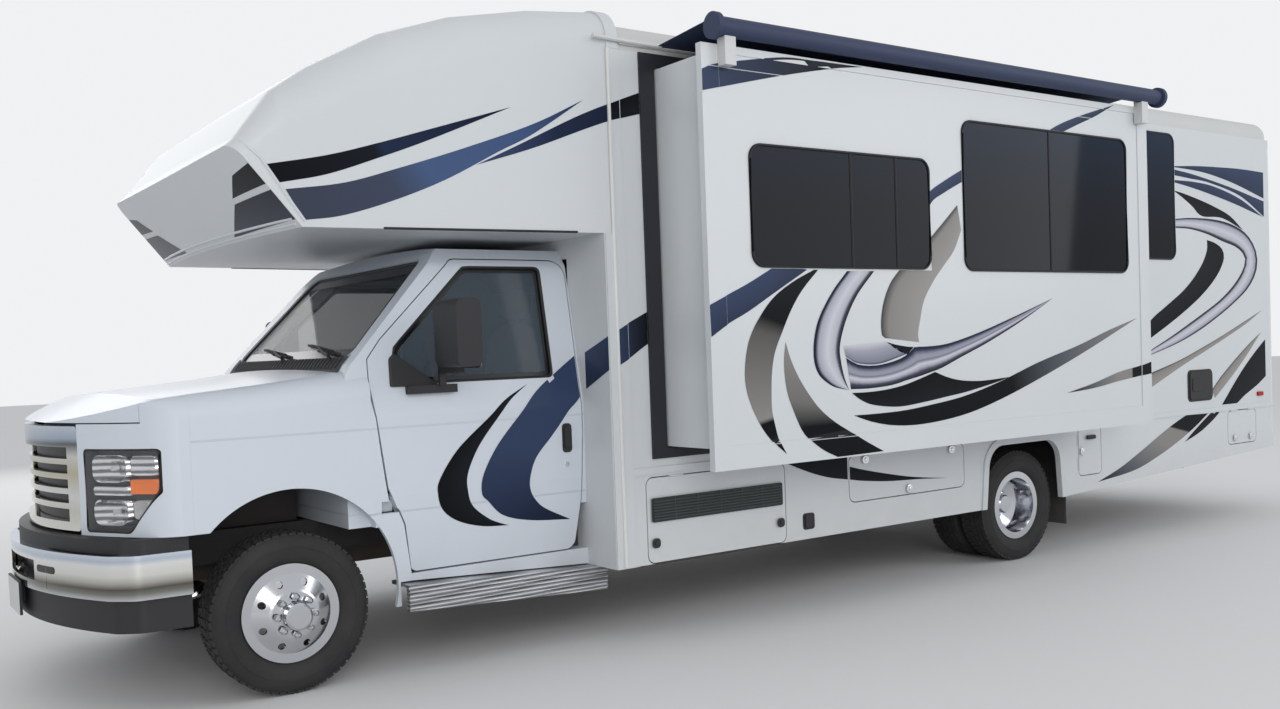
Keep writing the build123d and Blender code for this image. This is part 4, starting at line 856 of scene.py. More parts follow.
SLIDE_STRIPES = {
    "slide_navy_low": (navy_film,
        (1873, 1720, 2002, 1774, 2135, 1829, 2265, 1890, 2356, 1935),
        (1872, 1558, 2002, 1630, 2143, 1693, 2315, 1783, 2551, 1905)),
    "slide_navy_middle": (navy_film,
        (3388, 2236, 3518, 2354, 3658, 2429, 3812, 2500),
        (3468, 2166, 3532, 2293, 3655, 2361, 3812, 2430)),
    "slide_navy_top": (navy_film,
        (4480, 2700, 4696, 2813, 4959, 2903, 5334, 3006),
        (4640, 2735, 4904, 2835, 5132, 2917, 5334, 3006)),
    "slide_crescent": (taupe_fade,
        (2601, 1905, 2456, 1845, 2314, 1763, 2208, 1657, 2136, 1547, 2104, 1422, 2103, 1321, 2134, 1219, 2196,
         1108, 2267, 1026, 2361, 952),
        (2630, 1905, 2511, 1798, 2429, 1695, 2368, 1593, 2308, 1481, 2283, 1379, 2275, 1277, 2275, 1185, 2292,
         1107, 2316, 1028, 2361, 952)),
    "slide_second_crescent": (taupe_end,
        (2383, 1530, 2368, 1438, 2371, 1345, 2388, 1256, 2426, 1166, 2478, 1068, 2533, 1012, 2624, 952, 2726,
         907),
        (2383, 1530, 2417, 1436, 2469, 1341, 2543, 1243, 2619, 1165, 2719, 1095, 2822, 1040, 2941, 977, 3079,
         911)),
    "slide_tube_up": (tube_film,
        (2844, 1900, 2728, 1788, 2626, 1651, 2585, 1536, 2580, 1431, 2606, 1361, 2655, 1317, 2727, 1281, 2831,
         1260),
        (3052, 1902, 2915, 1771, 2825, 1637, 2774, 1504, 2778, 1413, 2797, 1337, 2812, 1300, 2822, 1280, 2831,
         1260)),
    "slide_hook_shade": (hook_film,
        (2800, 1500, 2912, 1505, 3037, 1511, 3124, 1516),
        (2815, 1440, 2908, 1402, 3074, 1394, 3291, 1440)),
    "slide_hook_point": (black_film,
        (3127, 1513, 3206, 1495, 3293, 1482, 3351, 1478),
        (3127, 1513, 3205, 1471, 3262, 1447, 3300, 1438)),
    "slide_tube_long": (long_tube,
        (2817, 1434, 2907, 1395, 3045, 1385, 3202, 1406, 3300, 1438, 3356, 1476, 3441, 1477, 3639, 1489, 3911,
         1545, 4248, 1635, 4640, 1747),
        (2847, 1264, 2998, 1262, 3168, 1272, 3285, 1293, 3404, 1313, 3495, 1332, 3587, 1352, 3745, 1405, 4007,
         1490, 4333, 1613, 4640, 1747)),
    "slide_taupe": (taupe_film,
        (3757, 2290, 3612, 2170, 3463, 2053, 3318, 1955, 3192, 1853, 3124, 1743, 3095, 1633, 3099, 1551, 3122,
         1534),
        (3786, 2146, 3719, 2029, 3628, 1941, 3539, 1855, 3450, 1741, 3411, 1628, 3395, 1570, 3391, 1544, 3398,
         1504)),
    "slide_black_leaf": (black_film,
        (2853, 1243, 2984, 1242, 3126, 1249, 3264, 1267, 3389, 1295, 3525, 1330),
        (2853, 1243, 2920, 1202, 3020, 1169, 3218, 1149, 3425, 1163, 3639, 1186)),
    "slide_black_leaf_end": (black_film,
        (3525, 1330, 3627, 1297, 3731, 1275, 3864, 1263, 4001, 1263, 4189, 1273),
        (3639, 1186, 3772, 1200, 3908, 1220, 4019, 1238, 4122, 1257, 4189, 1273)),
    "slide_long_black": (black_taupe,
        (2863, 1121, 3018, 1120, 3258, 1125, 3509, 1147, 3771, 1179, 4094, 1247, 4485, 1353, 4900, 1447, 5230,
         1536, 5552, 1610),
        (2863, 1121, 2977, 1084, 3133, 1052, 3336, 1038, 3590, 1050, 3857, 1086, 4185, 1164, 4582, 1281, 5005,
         1418, 5552, 1610)),
    "slide_tip": (tip_film,
        (4761, 1147, 5051, 1197, 5331, 1257, 5562, 1288, 5698, 1312),
        (4761, 1147, 5049, 1165, 5328, 1198, 5560, 1221, 5698, 1233)),
}
WALL_STRIPES = {
    "wall_navy_front": (navy_dark,
        (1656, 1622, 1739, 1664, 1804, 1694, 1848, 1714),
        (1656, 1440, 1730, 1478, 1796, 1518, 1848, 1548)),
    "wall_navy_upper": (navy_film,
        (6852, 2768, 7140, 2786, 7430, 2795, 7806, 2801, 8168, 2793),
        (6852, 2760, 7139, 2751, 7383, 2730, 7725, 2677, 8168, 2580)),
    "wall_navy_middle": (navy_film,
        (6852, 2742, 7067, 2724, 7352, 2689, 7678, 2642, 8168, 2556),
        (6852, 2699, 7065, 2686, 7351, 2666, 7798, 2584, 8168, 2430)),
    "wall_navy_lower": (navy_film,
        (6852, 2663, 7135, 2662, 7423, 2638, 7797, 2560, 8154, 2427),
        (6852, 2644, 7063, 2620, 7348, 2579, 7719, 2516, 8154, 2427)),
    "wall_black_blade": (black_film,
        (6852, 2582, 6990, 2563, 7201, 2526, 7417, 2480, 7639, 2417, 7834, 2311),
        (6852, 2575, 6948, 2538, 7085, 2475, 7225, 2403, 7518, 2397, 7834, 2311)),
    "wall_tube": (tube_film,
        (6852, 2368, 7053, 2382, 7340, 2383, 7606, 2361, 7833, 2303, 7971, 2218, 8046, 2105, 8025, 1974, 7894,
         1842, 7688, 1730, 7458, 1628, 7162, 1515, 6848, 1422, 6481, 1342),
        (6852, 2300, 7050, 2297, 7292, 2265, 7511, 2215, 7721, 2172, 7842, 2110, 7855, 2053, 7805, 1972, 7663,
         1858, 7463, 1747, 7239, 1655, 7022, 1572, 6768, 1477, 6482, 1379)),
    "wall_black_crescent": (black_film,
        (7290, 2218, 7406, 2197, 7508, 2152, 7535, 2081, 7472, 1985, 7350, 1882, 7172, 1772, 6955, 1665, 6717,
         1562, 6486, 1469),
        (7290, 2218, 7287, 2140, 7226, 2045, 7136, 1959, 7034, 1881, 6919, 1811, 6779, 1743, 6654, 1684, 6559,
         1640, 6478, 1596)),
    "wall_slate": (taupe_film,
        (8109, 1661, 7837, 1575, 7527, 1476, 7229, 1389, 6871, 1291, 6476, 1208),
        (8109, 1661, 7867, 1558, 7556, 1452, 7257, 1356, 6897, 1244, 6485, 1102)),
    "wall_taupe_blade": (taupe_film,
        (8086, 1480, 7876, 1379, 7639, 1249, 7439, 1129, 7317, 1039),
        (8086, 1480, 7906, 1337, 7714, 1198, 7527, 1077, 7359, 974)),
    "wall_black_wedge": (black_film,
        (8150, 1420, 7984, 1319, 7823, 1210, 7664, 1087, 7462, 915),
        (8150, 1115, 8022, 1054, 7909, 1010, 7814, 974, 7690, 915)),
}
SKIRT_STRIPES = {
    "skirt_blade": (black_film,
        (2803, 837, 2897, 840, 3015, 848, 3137, 857, 3290, 875),
        (2803, 837, 2918, 792, 3035, 753, 3147, 725, 3290, 702)),
    "skirt_blade_end": (black_film,
        (3292, 780, 3423, 748, 3639, 704, 3862, 666, 4160, 632),
        (3292, 702, 3421, 682, 3637, 661, 3907, 649, 4160, 632)),
    "skirt_tail": (tip_film,
        (5776, 455, 6050, 532, 6309, 628, 6576, 736, 6783, 813, 6925, 858, 7000, 880),
        (5776, 455, 6239, 501, 6570, 585, 6847, 678, 7075, 771, 7252, 858, 7330, 880)),
    "skirt_tail_blade": (black_film,
        (6916, 658, 7060, 741, 7251, 838, 7350, 880),
        (6916, 658, 7131, 720, 7323, 802, 7459, 880)),
}
slide_side = ("%s", on_left, slide_face, on_slide, SLIDE_CUTS)
right_side = ("right_%s", on_right, right_face, on_right_wall, RIGHT_CUTS)
lay_stripes(SLIDE_STRIPES, slide_side)
lay_stripes(SLIDE_STRIPES, right_side)
lay_stripes(WALL_STRIPES, ("%s", on_left, wall_face, on_wall, ()), right_side)
lay_stripes(SKIRT_STRIPES, ("%s", on_left, Skin(["skirt_left", *HATCHES], (0, 1, 0)), on_skirt, HATCH_CUTS))

# Cab and cap stripes: the same film, laid on the doors, the surround and the over-cab cap,
# and split at the doors' rear shut lines.
steel_blue = film("cap_blue", [(0.0, (0.045, 0.052, 0.080)), (0.3, (0.048, 0.060, 0.100)),
                               (0.42, (0.060, 0.098, 0.20)), (0.75, (0.050, 0.085, 0.19)),
                               (1.0, (0.016, 0.03, 0.08))], "X")
slate_film = film("slate_film", [(0.0, (0.022, 0.026, 0.040)), (1.0, (0.050, 0.054, 0.075))])
black_navy = film("black_to_navy", [(0.0, BLACK), (0.4, (0.008, 0.010, 0.016)), (0.44, (0.014, 0.024, 0.055)),
                                    (1.0, (0.008, 0.012, 0.03))], "X")
navy_black = film("navy_to_dark", [(0.0, (0.045, 0.065, 0.14)), (0.6, (0.012, 0.02, 0.05)),
                                   (1.0, (0.010, 0.016, 0.04))], "X")
door_film = film("door_navy_film", [(0.0, (0.036, 0.056, 0.118)), (0.45, (0.033, 0.050, 0.105)),
                                    (0.8, (0.013, 0.021, 0.048)), (1.0, (0.008, 0.013, 0.030))], "X")
CAP_STRIPES = {
    "cap_black": (black_navy,
        (-78, 2389, 202, 2445, 440, 2512, 694, 2591, 1113, 2723),
        (-28, 2310, 198, 2359, 437, 2443, 692, 2542, 1113, 2723)),
    "cap_blue": (steel_blue,
        (8, 2284, 274, 2324, 516, 2396, 861, 2511, 1227, 2648, 1510, 2786),
        (86, 2150, 267, 2177, 509, 2253, 768, 2360, 1040, 2504, 1225, 2599, 1510, 2786)),
    "cap_navy": (navy_black,
        (918, 2433, 1131, 2535, 1421, 2678, 1560, 2740, 1646, 2774),
        (918, 2433, 1222, 2530, 1515, 2641, 1646, 2688)),
}
PILLAR_STRIPE = {
    "strip_navy_top": (black_film,
        (1656, 2777, 1750, 2814, 1848, 2851),
        (1656, 2692, 1750, 2716, 1848, 2742)),
}
FIRST_STRIPE = {
    "slide_navy_first": (navy_dark,
        (1887, 2879, 2003, 2919, 2405, 2990, 2640, 2999, 3000, 3004),
        (1887, 2774, 2004, 2802, 2406, 2897, 2764, 2970, 3000, 3004)),
}
DOOR_STRIPES = {
    "door_black": (black_film,
        (1276, 1364, 1139, 1292, 1030, 1203, 857, 1062, 752, 922, 738, 850, 763, 768, 844, 705, 977, 664, 1131,
         651),
        (1276, 1364, 1170, 1290, 1084, 1200, 973, 1068, 906, 938, 902, 849, 928, 771, 1011, 701, 1080, 668,
         1131, 651)),
    "door_navy": (door_film,
        (1596, 1508, 1466, 1424, 1330, 1330, 1221, 1218, 1075, 1060, 989, 916, 980, 826, 1013, 787, 1097, 707,
         1255, 663, 1498, 641),
        (1596, 1292, 1560, 1256, 1511, 1216, 1455, 1150, 1394, 1083, 1299, 981, 1259, 876, 1263, 813, 1290, 765,
         1347, 715, 1498, 641)),
}
CAP_FRONT_STRIPES = {
    "accent_black": (black_film,
        (903, 2366, 1114, 2392),
        (738, 2286, 1120, 2305)),
    "accent_slate": (slate_film,
        (709, 2262, 1121, 2280),
        (425, 2139, 1126, 2153)),
}
SURROUND_STRIPE = {
    "surround_navy": (navy_film,
        (1045, 1515, 1270, 1594),
        (1045, 1322, 1270, 1421)),
}
lay_stripes(CAP_STRIPES, ("right_%s", on_right, Skin(["front_cap"], (0, -1, 0)), on_coach, ()),
            ("%s", on_left, Skin(["front_cap"], (0, 1, 0)), on_coach, ()))
lay_stripes(PILLAR_STRIPE, ("%s", on_left, wall_face, on_coach, ()))
lay_stripes(FIRST_STRIPE, slide_side)

DOOR_CUTS = [("a", 1.587), ("a", 1.5945), ("b", 1.24, 0), ("b", 0.85, 0)]
DOOR_REAR = [(0.485, 1.522), (0.735, 1.566), (1.106, 1.588), (2.010, 1.588)]


def on_door(body):
    """Names the door, or the pillar behind it, and leaves the shut line between them open."""
    def where(a, b):
        for (low, x0), (high, x1) in zip(DOOR_REAR, DOOR_REAR[1:]):
            if low <= b <= high:
                shut = x0 + (x1 - x0) * (b - low) / (high - low)
                return body if a < shut - 0.001 else ("coach" if a > shut + SHUT_GAP else None)
        return None
    return where


sides = []
for side, sign, flat, label in (("left", -1, on_left, "%s"), ("right", 1, on_right, "right_%s")):
    skin = Skin(["cab_door_" + side, "cab_shell", "cab_surround"], (0, -sign, 0), 0.0014)
    sides.append((label, flat, skin, on_door("door_" + side), DOOR_CUTS))
lay_stripes(DOOR_STRIPES, *sides, steps=72, rows=10)
for node, table in (("front_cap", CAP_FRONT_STRIPES), ("cab_surround", SURROUND_STRIPE)):
    sides = [("%s_" + side, lambda a, b, sign=sign: at(-1.5, sign * a, b), Skin([node], (1, 0, 0)), on_coach, ())
             for side, sign in SIDES]
    lay_stripes(table, *sides, steps=12, rows=6)

# Glazing: the windscreen and door glasses are bedded in black rubber, with a black printed
# edge on the glass. A moulded cowl with ribs closes the gap between hood and windscreen.
def directions(points, closed):
    """The direction of a line at each of its points."""
    last = len(points) - 1
    result = []
    for i in range(last + 1):
        before = points[i - 1] if closed or i else points[0]
        after = points[(i + 1) % (last + 1)] if closed or i < last else points[-1]
        result.append((after - before).normalized())
    return result


def swept(points, radius, sides=10, closed=False, flat=1.0, lean=(0, 0, 1)):
    """Points and faces of a bar of round or flattened section swept along a line."""
    points = [Vector(p) for p in points if p]
    verts = []
    for point, way in zip(points, directions(points, closed)):
        wide = way.cross(Vector(lean)).normalized()
        high = wide.cross(way)
        for k in range(sides):
            angle = 2 * math.pi * (k + 0.5) / sides
            verts.append(point + wide * (math.cos(angle) * radius * flat) + high * (math.sin(angle) * radius))
    faces = grid(len(points), sides, closed, True)
    if not closed:
        faces.append(tuple(range(sides - 1, -1, -1)))
        faces.append(tuple(range(len(verts) - sides, len(verts))))
    return verts, faces


def fitting(name, parts, material, body, smooth=35):
    """One rigid piece made of swept bars, panels and turned forms."""
    mesh = plain_mesh(name, *joined(parts), material)
    outside = bmesh.new()
    outside.from_mesh(mesh)
    bmesh.ops.recalc_face_normals(outside, faces=outside.faces)
    outside.to_mesh(mesh)
    outside.free()
    return settle(mesh, name, body, smooth)


def rounded_polygon(points, radius, steps=5):
    """A closed line through corners that are each rounded off."""
    corners = [Vector(p) for p in points]
    result = []
    for i, corner in enumerate(corners):
        back = (corners[i - 1] - corner).normalized() * radius
        on = (corners[(i + 1) % len(corners)] - corner).normalized() * radius
        for k in range(steps + 1):
            t = k / steps
            result.append((corner + back) * (1 - t) ** 2 + corner * 2 * t * (1 - t) + (corner + on) * t * t)
    return [tuple(p) for p in result]


EDGE_LIFT = 0.0015


def border(loop, width, place, skin):
    """A flat band inside a closed line, laid on a skin."""
    flat = [Vector((a, 0.0, b)) for a, b in loop]
    inner = [p + Vector((-w.z, 0.0, w.x)) * width for p, w in zip(flat, directions(flat, True))]
    verts = []
    for share in (0.0, 0.5, 1.0):
        for p, q in zip(flat, inner):
            spot = p.lerp(q, share)
            hit = skin.on(place(spot.x, spot.z))
            verts.append(hit - skin.direction * EDGE_LIFT if hit is not None else None)
    faces = [face for face in grid(3, len(loop), False, True) if all(verts[i] is not None for i in face)]
    used = sorted({i for face in faces for i in face})
    spots = {old: new for new, old in enumerate(used)}
    return [verts[i] for i in used], [tuple(spots[i] for i in face) for face in faces]


def ahead_of(a, b):
    return at(-2.0, a, b)


rubber_trim = moulded("rubber_trim", (0.010, 0.010, 0.011), 0.5, 0.1)
glass_edge = moulded("printed_glass_edge", (0.006, 0.006, 0.007), 0.12, 0.02)
screen_skin = Skin(["windscreen"], (1, 0, 0))
loop = rounded_polygon([(-0.850, 1.522), (0.850, 1.522), (0.737, 2.003), (-0.737, 2.003)], 0.07)
open_piece("windscreen_edge", [border(loop, 0.055, ahead_of, screen_skin)], glass_edge, "coach",
           (-1, 0, 1))
seal = [screen_skin.on(ahead_of(a * 0.998, b)) for a, b in loop]
fitting("windscreen_seal", [swept(seal, 0.009, 8, True)], rubber_trim, "coach")
loop = rounded_polygon([(1.436, 1.396), (1.436, 1.971), (0.987, 1.971), (0.564, 1.573), (0.539, 1.450),
                        (0.562, 1.396)], 0.035, 4)
for side, sign in SIDES:
    beside = lambda a, b, sign=sign: at(a, sign * 1.6, b)
    pane = Skin(["cab_glass_" + side], (0, -sign, 0))
    open_piece("door_glass_edge_" + side, [border(loop, 0.028, beside, pane)], glass_edge, "door_" + side,
               (0, sign, 0))
    rim = [p + Vector((0, sign * 0.010, 0)) for p in (pane.on(beside(a, b)) for a, b in loop) if p]
    fitting("door_glass_seal_" + side, [swept(rim, 0.009, 8, True)], rubber_trim, "door_" + side)

cowl_skin = Skin(["cab_shell", "windscreen"], (0, 0, -1))


def cowl_spot(x, y, lift):
    return cowl_skin.on(at(x, y, 3.0)) + Vector((0, 0, lift))


cowl = [cowl_spot(0.305 + 0.078 * i / 8, -0.86 + 1.72 * j / 40, 0.004) for i in range(9) for j in range(41)]
open_piece("cowl_panel", [(cowl, grid(9, 41))], black_plastic, "coach", (0, 0, 1))
slats = [swept([cowl_spot(x, -0.79 + 1.58 * j / 33, 0.006) for x in (0.325, 0.345, 0.365)], 0.004, 6, flat=2.2)
         for j in range(34)]
fitting("cowl_slats", slats, black_plastic, "coach")

# Wipers: a rubber blade in a pressed holder on a sprung steel arm, which turns on a spindle
# in the cowl.
OUT_OF_SCREEN = Vector((-0.73, 0, 0.683))


def screen_spot(y, z, out):
    return screen_skin.on(ahead_of(y, z)) + OUT_OF_SCREEN * out


for name, pivot, reach, (y0, z0), (y1, z1) in (
    ("wiper_left", -0.66, (-0.40, 1.565), (-0.70, 1.545), (-0.12, 1.600)),
    ("wiper_right", 0.02, (0.28, 1.562), (-0.03, 1.540), (0.58, 1.592)),
):
    blade = [screen_spot(y0 + (y1 - y0) * t / 6, z0 + (z1 - z0) * t / 6, 0.011) for t in range(7)]
    holder = [p + OUT_OF_SCREEN * 0.012 for p in blade[1:6]]
    foot = cowl_spot(0.352, pivot, 0.0)
    knee = foot.lerp(screen_spot(*reach, 0.035), 0.35) + Vector((-0.01, 0, 0.02))
    arm = [foot, foot + Vector((-0.006, 0, 0.035)), knee, screen_spot(*reach, 0.030)]
    fitting(name, [swept(blade, 0.007, 6, flat=0.5), swept(holder, 0.006, 6), swept(arm, 0.009, 8, flat=0.7)],
            black_plastic, "coach")


# Door furniture: handles in black recesses, locks, mirror glass and the sail that carries the
# mirror. All are moulded or pressed and clipped or screwed to the door.
def rounded_loop(a0, a1, b0, b1, radius, steps=6):
    """Corner points of a rounded rectangle in the plane (a, b), anticlockwise."""
    result = []
    for ca, cb, start in ((a1 - radius, b1 - radius, 0), (a0 + radius, b1 - radius, 90),
                          (a0 + radius, b0 + radius, 180), (a1 - radius, b0 + radius, 270)):
        for k in range(steps + 1):
            angle = math.radians(start + 90 * k / steps)
            result.append((ca + radius * math.cos(angle), cb + radius * math.sin(angle)))
    return result


def centre(loop):
    return [sum(values) / len(loop) for values in zip(*loop)]


def panel(loop, place, thickness, edge=0.002):
    """A plate with a rolled edge: place(a, b, out) turns flat points into space."""
    ca, cb = centre(loop)
    rings = [(0.0, 0.0), (0.0, thickness - edge), (edge * 0.35, thickness - edge * 0.3), (edge, thickness),
             (edge * 3.0, thickness)]
    verts = []
    for inset, out in rings:
        for a, b in loop:
            scale = max(0.02, 1 - inset / max(math.hypot(a - ca, b - cb), 1e-6))
            verts.append(place(ca + (a - ca) * scale, cb + (b - cb) * scale, out))
    faces = grid(len(rings), len(loop), False, True)
    faces.append(tuple(range(len(loop) - 1, -1, -1)))
    faces.append(tuple(range(len(verts) - len(loop), len(verts))))
    return verts, faces


def on_side(y, sign=-1):
    """Places a flat point (x, z) on a side plane, out from the middle."""
    return lambda a, b, out: at(a, sign * (y + out), b)


DOOR_Y = 1.008
mirror_glass = metal("mirror_silver", (0.75, 0.77, 0.80), 0.02, 0.01)
lock_loop = rounded_polygon([(1.486 + 0.015 * math.cos(k * math.pi / 4), 0.934 + 0.015 * math.sin(k * math.pi / 4))
                             for k in range(8)], 0.004, 2)
sail_loop = rounded_polygon([(0.522, 1.383), (0.530, 1.520), (0.560, 1.545), (0.700, 1.440), (0.780, 1.383)],
                            0.012, 3)
for side, sign in SIDES:
    body = "door_" + side
    outer = on_side(DOOR_Y, sign)
    grip = panel(rounded_loop(1.470, 1.512, 1.020, 1.132, 0.012), on_side(DOOR_Y + 0.003, sign), 0.016, 0.004)
    recess = panel(rounded_loop(1.462, 1.520, 0.995, 1.148, 0.020), outer, 0.004)
    fitting("door_handle_" + side, [recess, grip], black_plastic, body)
    fitting("door_lock_" + side, [panel(lock_loop, outer, 0.004, 0.001)], chrome, body)
    slope = lambda a, b, out, sign=sign: at(a, sign * (0.9835 - (b - 1.38) * 0.174 + out), b)
    fitting("mirror_sail_" + side, [panel(sail_loop, slope, 0.012, 0.004)], black_plastic, body)
    back = Skin(["mirror_" + side], (-1, 0, 0)).on(at(3.0, sign * 1.24, 1.66)).x - SHIFT.x
    plane = lambda a, b, out, back=back: at(back + out, a, b)
    y0, y1 = sorted((sign * 1.150, sign * 1.330))
    fitting("mirror_glass_" + side, [panel(rounded_loop(y0, y1, z0, z1, radius), plane, 0.002, 0.0008)
                                     for z0, z1, radius in ((1.560, 1.765, 0.03), (1.462, 1.545, 0.02))],
            mirror_glass, body)

# Lamps: chromed bowls, an amber turn lamp and a side reflector in a black housing, all behind
# one clear lens that is clipped to it. Tail lamps are red and clear lenses on a base.
nose_skin = Skin(["lamps", "front_fenders"], (1, 0, 0))
reflector = Finish("lamp_reflector")
flute = reflector.place.math("SINE", reflector.height() * 210.0)
flute_glints = (flute * 0.7 + reflector.noise(9.0, 2.0, 0.5)).clamp()
# The reflector's colour swings from dark to bright along the flutes and in noise patches: painted highlights and
# reflections on the chrome.
reflector = reflector.set(
    Base_Color=reflector.mix(flute_glints, (0.20, 0.20, 0.20), (0.86, 0.87, 0.88)),
    Metallic=0.95,
    Roughness=(reflector.noise(90.0, 2.0, 0.5) * 0.05 + 0.05).clamp(),
    Normal=reflector.bump(flute, 0.5, 0.003),
)
lamp_black = moulded("lamp_housing", (0.012, 0.012, 0.013), 0.35, 0.1)
amber_lens = glass("amber_lens", (0.78, 0.17, 0.008), 0.08, 1.0)
red_lens = glass("red_lens", (0.38, 0.010, 0.012), 0.08, 1.0)
clear_lens = glass("clear_lens", (0.55, 0.58, 0.62), 0.02, 0.10)
bulb_glass = glass("bulb_glass", (0.85, 0.86, 0.85), 0.03, 1.0, 0.6)


def nose_spot(y, z, deep):
    """A point so far behind the round of the nose, found from the lamp's own lens."""
    return nose_skin.on(ahead_of(y, z)) + Vector((deep, 0, 0))


def bowl(loop, rings, sign, middle=None):
    """Rings of a lamp part, each (share of the outline, depth), closed by a face."""
    ca, cb = middle or centre(loop)
    verts = [nose_spot(sign * (ca + (a - ca) * share), cb + (b - cb) * share, deep)
             for share, deep in rings for a, b in loop]
    return verts, grid(len(rings), len(loop), False, True) + [tuple(range(len(verts) - len(loop), len(verts)))]


BOWL = [(1.0, 0.050), (1.0, 0.010), (0.96, 0.006), (0.90, 0.010), (0.80, 0.026), (0.62, 0.041), (0.40, 0.050),
        (0.20, 0.054)]
TRAY = [(1.0, 0.050), (1.0, 0.009), (0.94, 0.006), (0.90, 0.008)]
CASE = [(1.0, 0.004), (1.0, 0.058), (0.5, 0.058)]
LENS = [(share, 0.002) for share in (1.0, 0.8, 0.6, 0.4, 0.2)]
LAMP_PARTS = [
    ("high_beam_", BOWL, reflector, (0.640, 0.825, 1.020, 1.145), 0.045),
    ("low_beam_", BOWL, reflector, (0.640, 0.825, 0.830, 0.950), 0.045),
    ("lamp_divider_", TRAY, reflector, (0.640, 0.825, 0.964, 1.006), 0.018),
    ("turn_lamp_", TRAY, amber_lens, (0.838, 0.950, 0.972, 1.036), 0.012),
    ("side_reflector_", TRAY, reflector, (0.845, 0.947, 1.052, 1.140), 0.018),
    ("corner_lamp_", TRAY, bulb_glass, (0.850, 0.915, 0.862, 0.945), 0.018),
]
TAIL_PARTS = [
    ("tail_base_", lamp_black, 0.971, 1.269, 0.010, 0.0),
    ("stop_lamp_", red_lens, 1.150, 1.262, 0.027, 0.005),
    ("reverse_lamp_", bulb_glass, 1.096, 1.144, 0.024, 0.005),
    ("tail_lamp_", red_lens, 0.978, 1.090, 0.027, 0.005),
]
TAIL_X = 8.250
LENS_MIDDLE = (0.782, 0.985)
lens_loop = rounded_polygon([(0.604, 0.804), (0.838, 0.804), (0.960, 0.984), (0.960, 1.166), (0.604, 1.166)],
                            0.02, 4)
for side, sign in SIDES:
    made = [fitting(name + side, [bowl(rounded_loop(*box, radius, 5), rings, sign)], finish, "coach",
                    50) for name, rings, finish, box, radius in LAMP_PARTS]
    for name, high in (("high_bulb_", 1.083), ("low_bulb_", 0.890)):
        tip = [nose_spot(sign * 0.7325, high, deep) for deep in (0.052, 0.040, 0.028, 0.020)]
        fitting(name + side, [swept(tip, 0.011, 10)], bulb_glass, "coach")
    made.append(fitting("lamp_case_" + side, [bowl(lens_loop, CASE, sign)], lamp_black, "coach"))
    rim = [nose_spot(sign * a, b, 0.003) for a, b in lens_loop]
    fitting("lamp_rim_" + side, [swept(rim, 0.005, 8, True)], lamp_black, "coach")
    made.append(open_piece("lamp_lens_" + side, [bowl(lens_loop, LENS, sign, LENS_MIDDLE)], clear_lens, "coach",
                           (-1, 0, 0)))
    y0, y1 = sorted((sign * 1.067, sign * 1.173))
    for name, finish, z0, z1, thickness, inset in TAIL_PARTS:
        loop = rounded_loop(y0 + inset, y1 - inset, z0, z1, 0.018)
        tail = panel(loop, lambda a, b, out: at(TAIL_X + out, a, b), thickness, 0.005)
        made.append(fitting(name + side, [tail], finish, "coach"))
    for piece in made:
        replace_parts(piece, "lamps")


# Grille and bumper backing: black moulded mesh is clipped behind the chrome bars and the air
# slot, and two plugs fill the tow holes.
def meshwork(name, y_half, z0, z1, depth, columns, rows):
    """A moulded mesh panel that closes an opening from behind."""
    verts = []
    for i in range(rows + 1):
        for j in range(columns + 1):
            y = y_half * (2 * j / columns - 1)
            verts.append(at(depth(y) + 0.004 * ((i + j) % 2), y, z0 + (z1 - z0) * i / rows))
    open_piece(name, [(verts, grid(rows + 1, columns + 1))], lamp_black, "coach", (-1, 0, 0))


NOSE_RADIUS = 1.5
meshwork("grille_mesh", 0.545, 0.812, 1.257, lambda y: 0.600 - math.sqrt(NOSE_RADIUS ** 2 - y * y) + 0.050, 36, 12)
meshwork("bumper_mesh", 0.335, 0.560, 0.682, lambda y: -0.905, 24, 6)
bumper_skin = Skin(["front_bumper"], (1, 0, 0), 0.0)


def on_bumper(a, b, out):
    return bumper_skin.on(ahead_of(a, b)) + Vector((-out, 0, 0))


plugs = []
for side, sign in SIDES:
    y0, y1 = sorted((sign * 0.370, sign * 0.540))
    plugs.append(panel(rounded_loop(y0, y1, 0.620, 0.652, 0.015, 8), on_bumper, 0.003, 0.001))
fitting("bumper_openings", plugs, lamp_black, "coach")

# Coach windows: black anodised frames clamp the glass to the wall, with a slider bar in each
# long pane.
WALL_Y, SLIDE_Y = 1.273, 1.750
UPRIGHT = (0, 1, 0)
anodised = metal("black_anodised", (0.018, 0.018, 0.02), 0.32, 0.1, 60.0, 0.6)
for name, body, sign, y, (x0, x1, z0, z1), bars in (
    ("slide_window_front", "slide_out", -1, SLIDE_Y, SLIDE_PANES[0], (2.890, 3.240)),
    ("slide_window_rear", "slide_out", -1, SLIDE_Y, SLIDE_PANES[1], (4.630,)),
    ("window_left_rear", "coach", -1, WALL_Y, LEFT_PANE, ()),
    ("window_right_front", "coach", 1, WALL_Y, RIGHT_PANES[0], (2.700,)),
    ("window_right_middle", "coach", 1, WALL_Y, RIGHT_PANES[1], ()),
    ("window_right_rear", "coach", 1, WALL_Y, RIGHT_PANES[2], (6.400,)),
):
    loop = rounded_loop(x0 + 0.006, x1 - 0.006, z0 + 0.006, z1 - 0.006, 0.072, 8)
    parts = [swept([at(a, sign * y, b) for a, b in loop], 0.007, 8, True)]
    for x in bars:
        bar = [at(x, sign * (y - 0.002), z) for z in (z0 + 0.01, (z0 + z1) / 2, z1 - 0.01)]
        parts.append(swept(bar, 0.006, 8, flat=1.6, lean=UPRIGHT))
    fitting(name + "_frame", parts, anodised, body)

# Side fittings: chromed and black latches on the compartment doors, a ducted vent with
# louvres, the shore power inlet, the water hatch and marker lamps, screwed to the skin.
plate_white = moulded("blank_plate", (0.62, 0.63, 0.62), 0.35, 0.05)
SKIN_Y, HATCH_Y = 1.270, 1.280


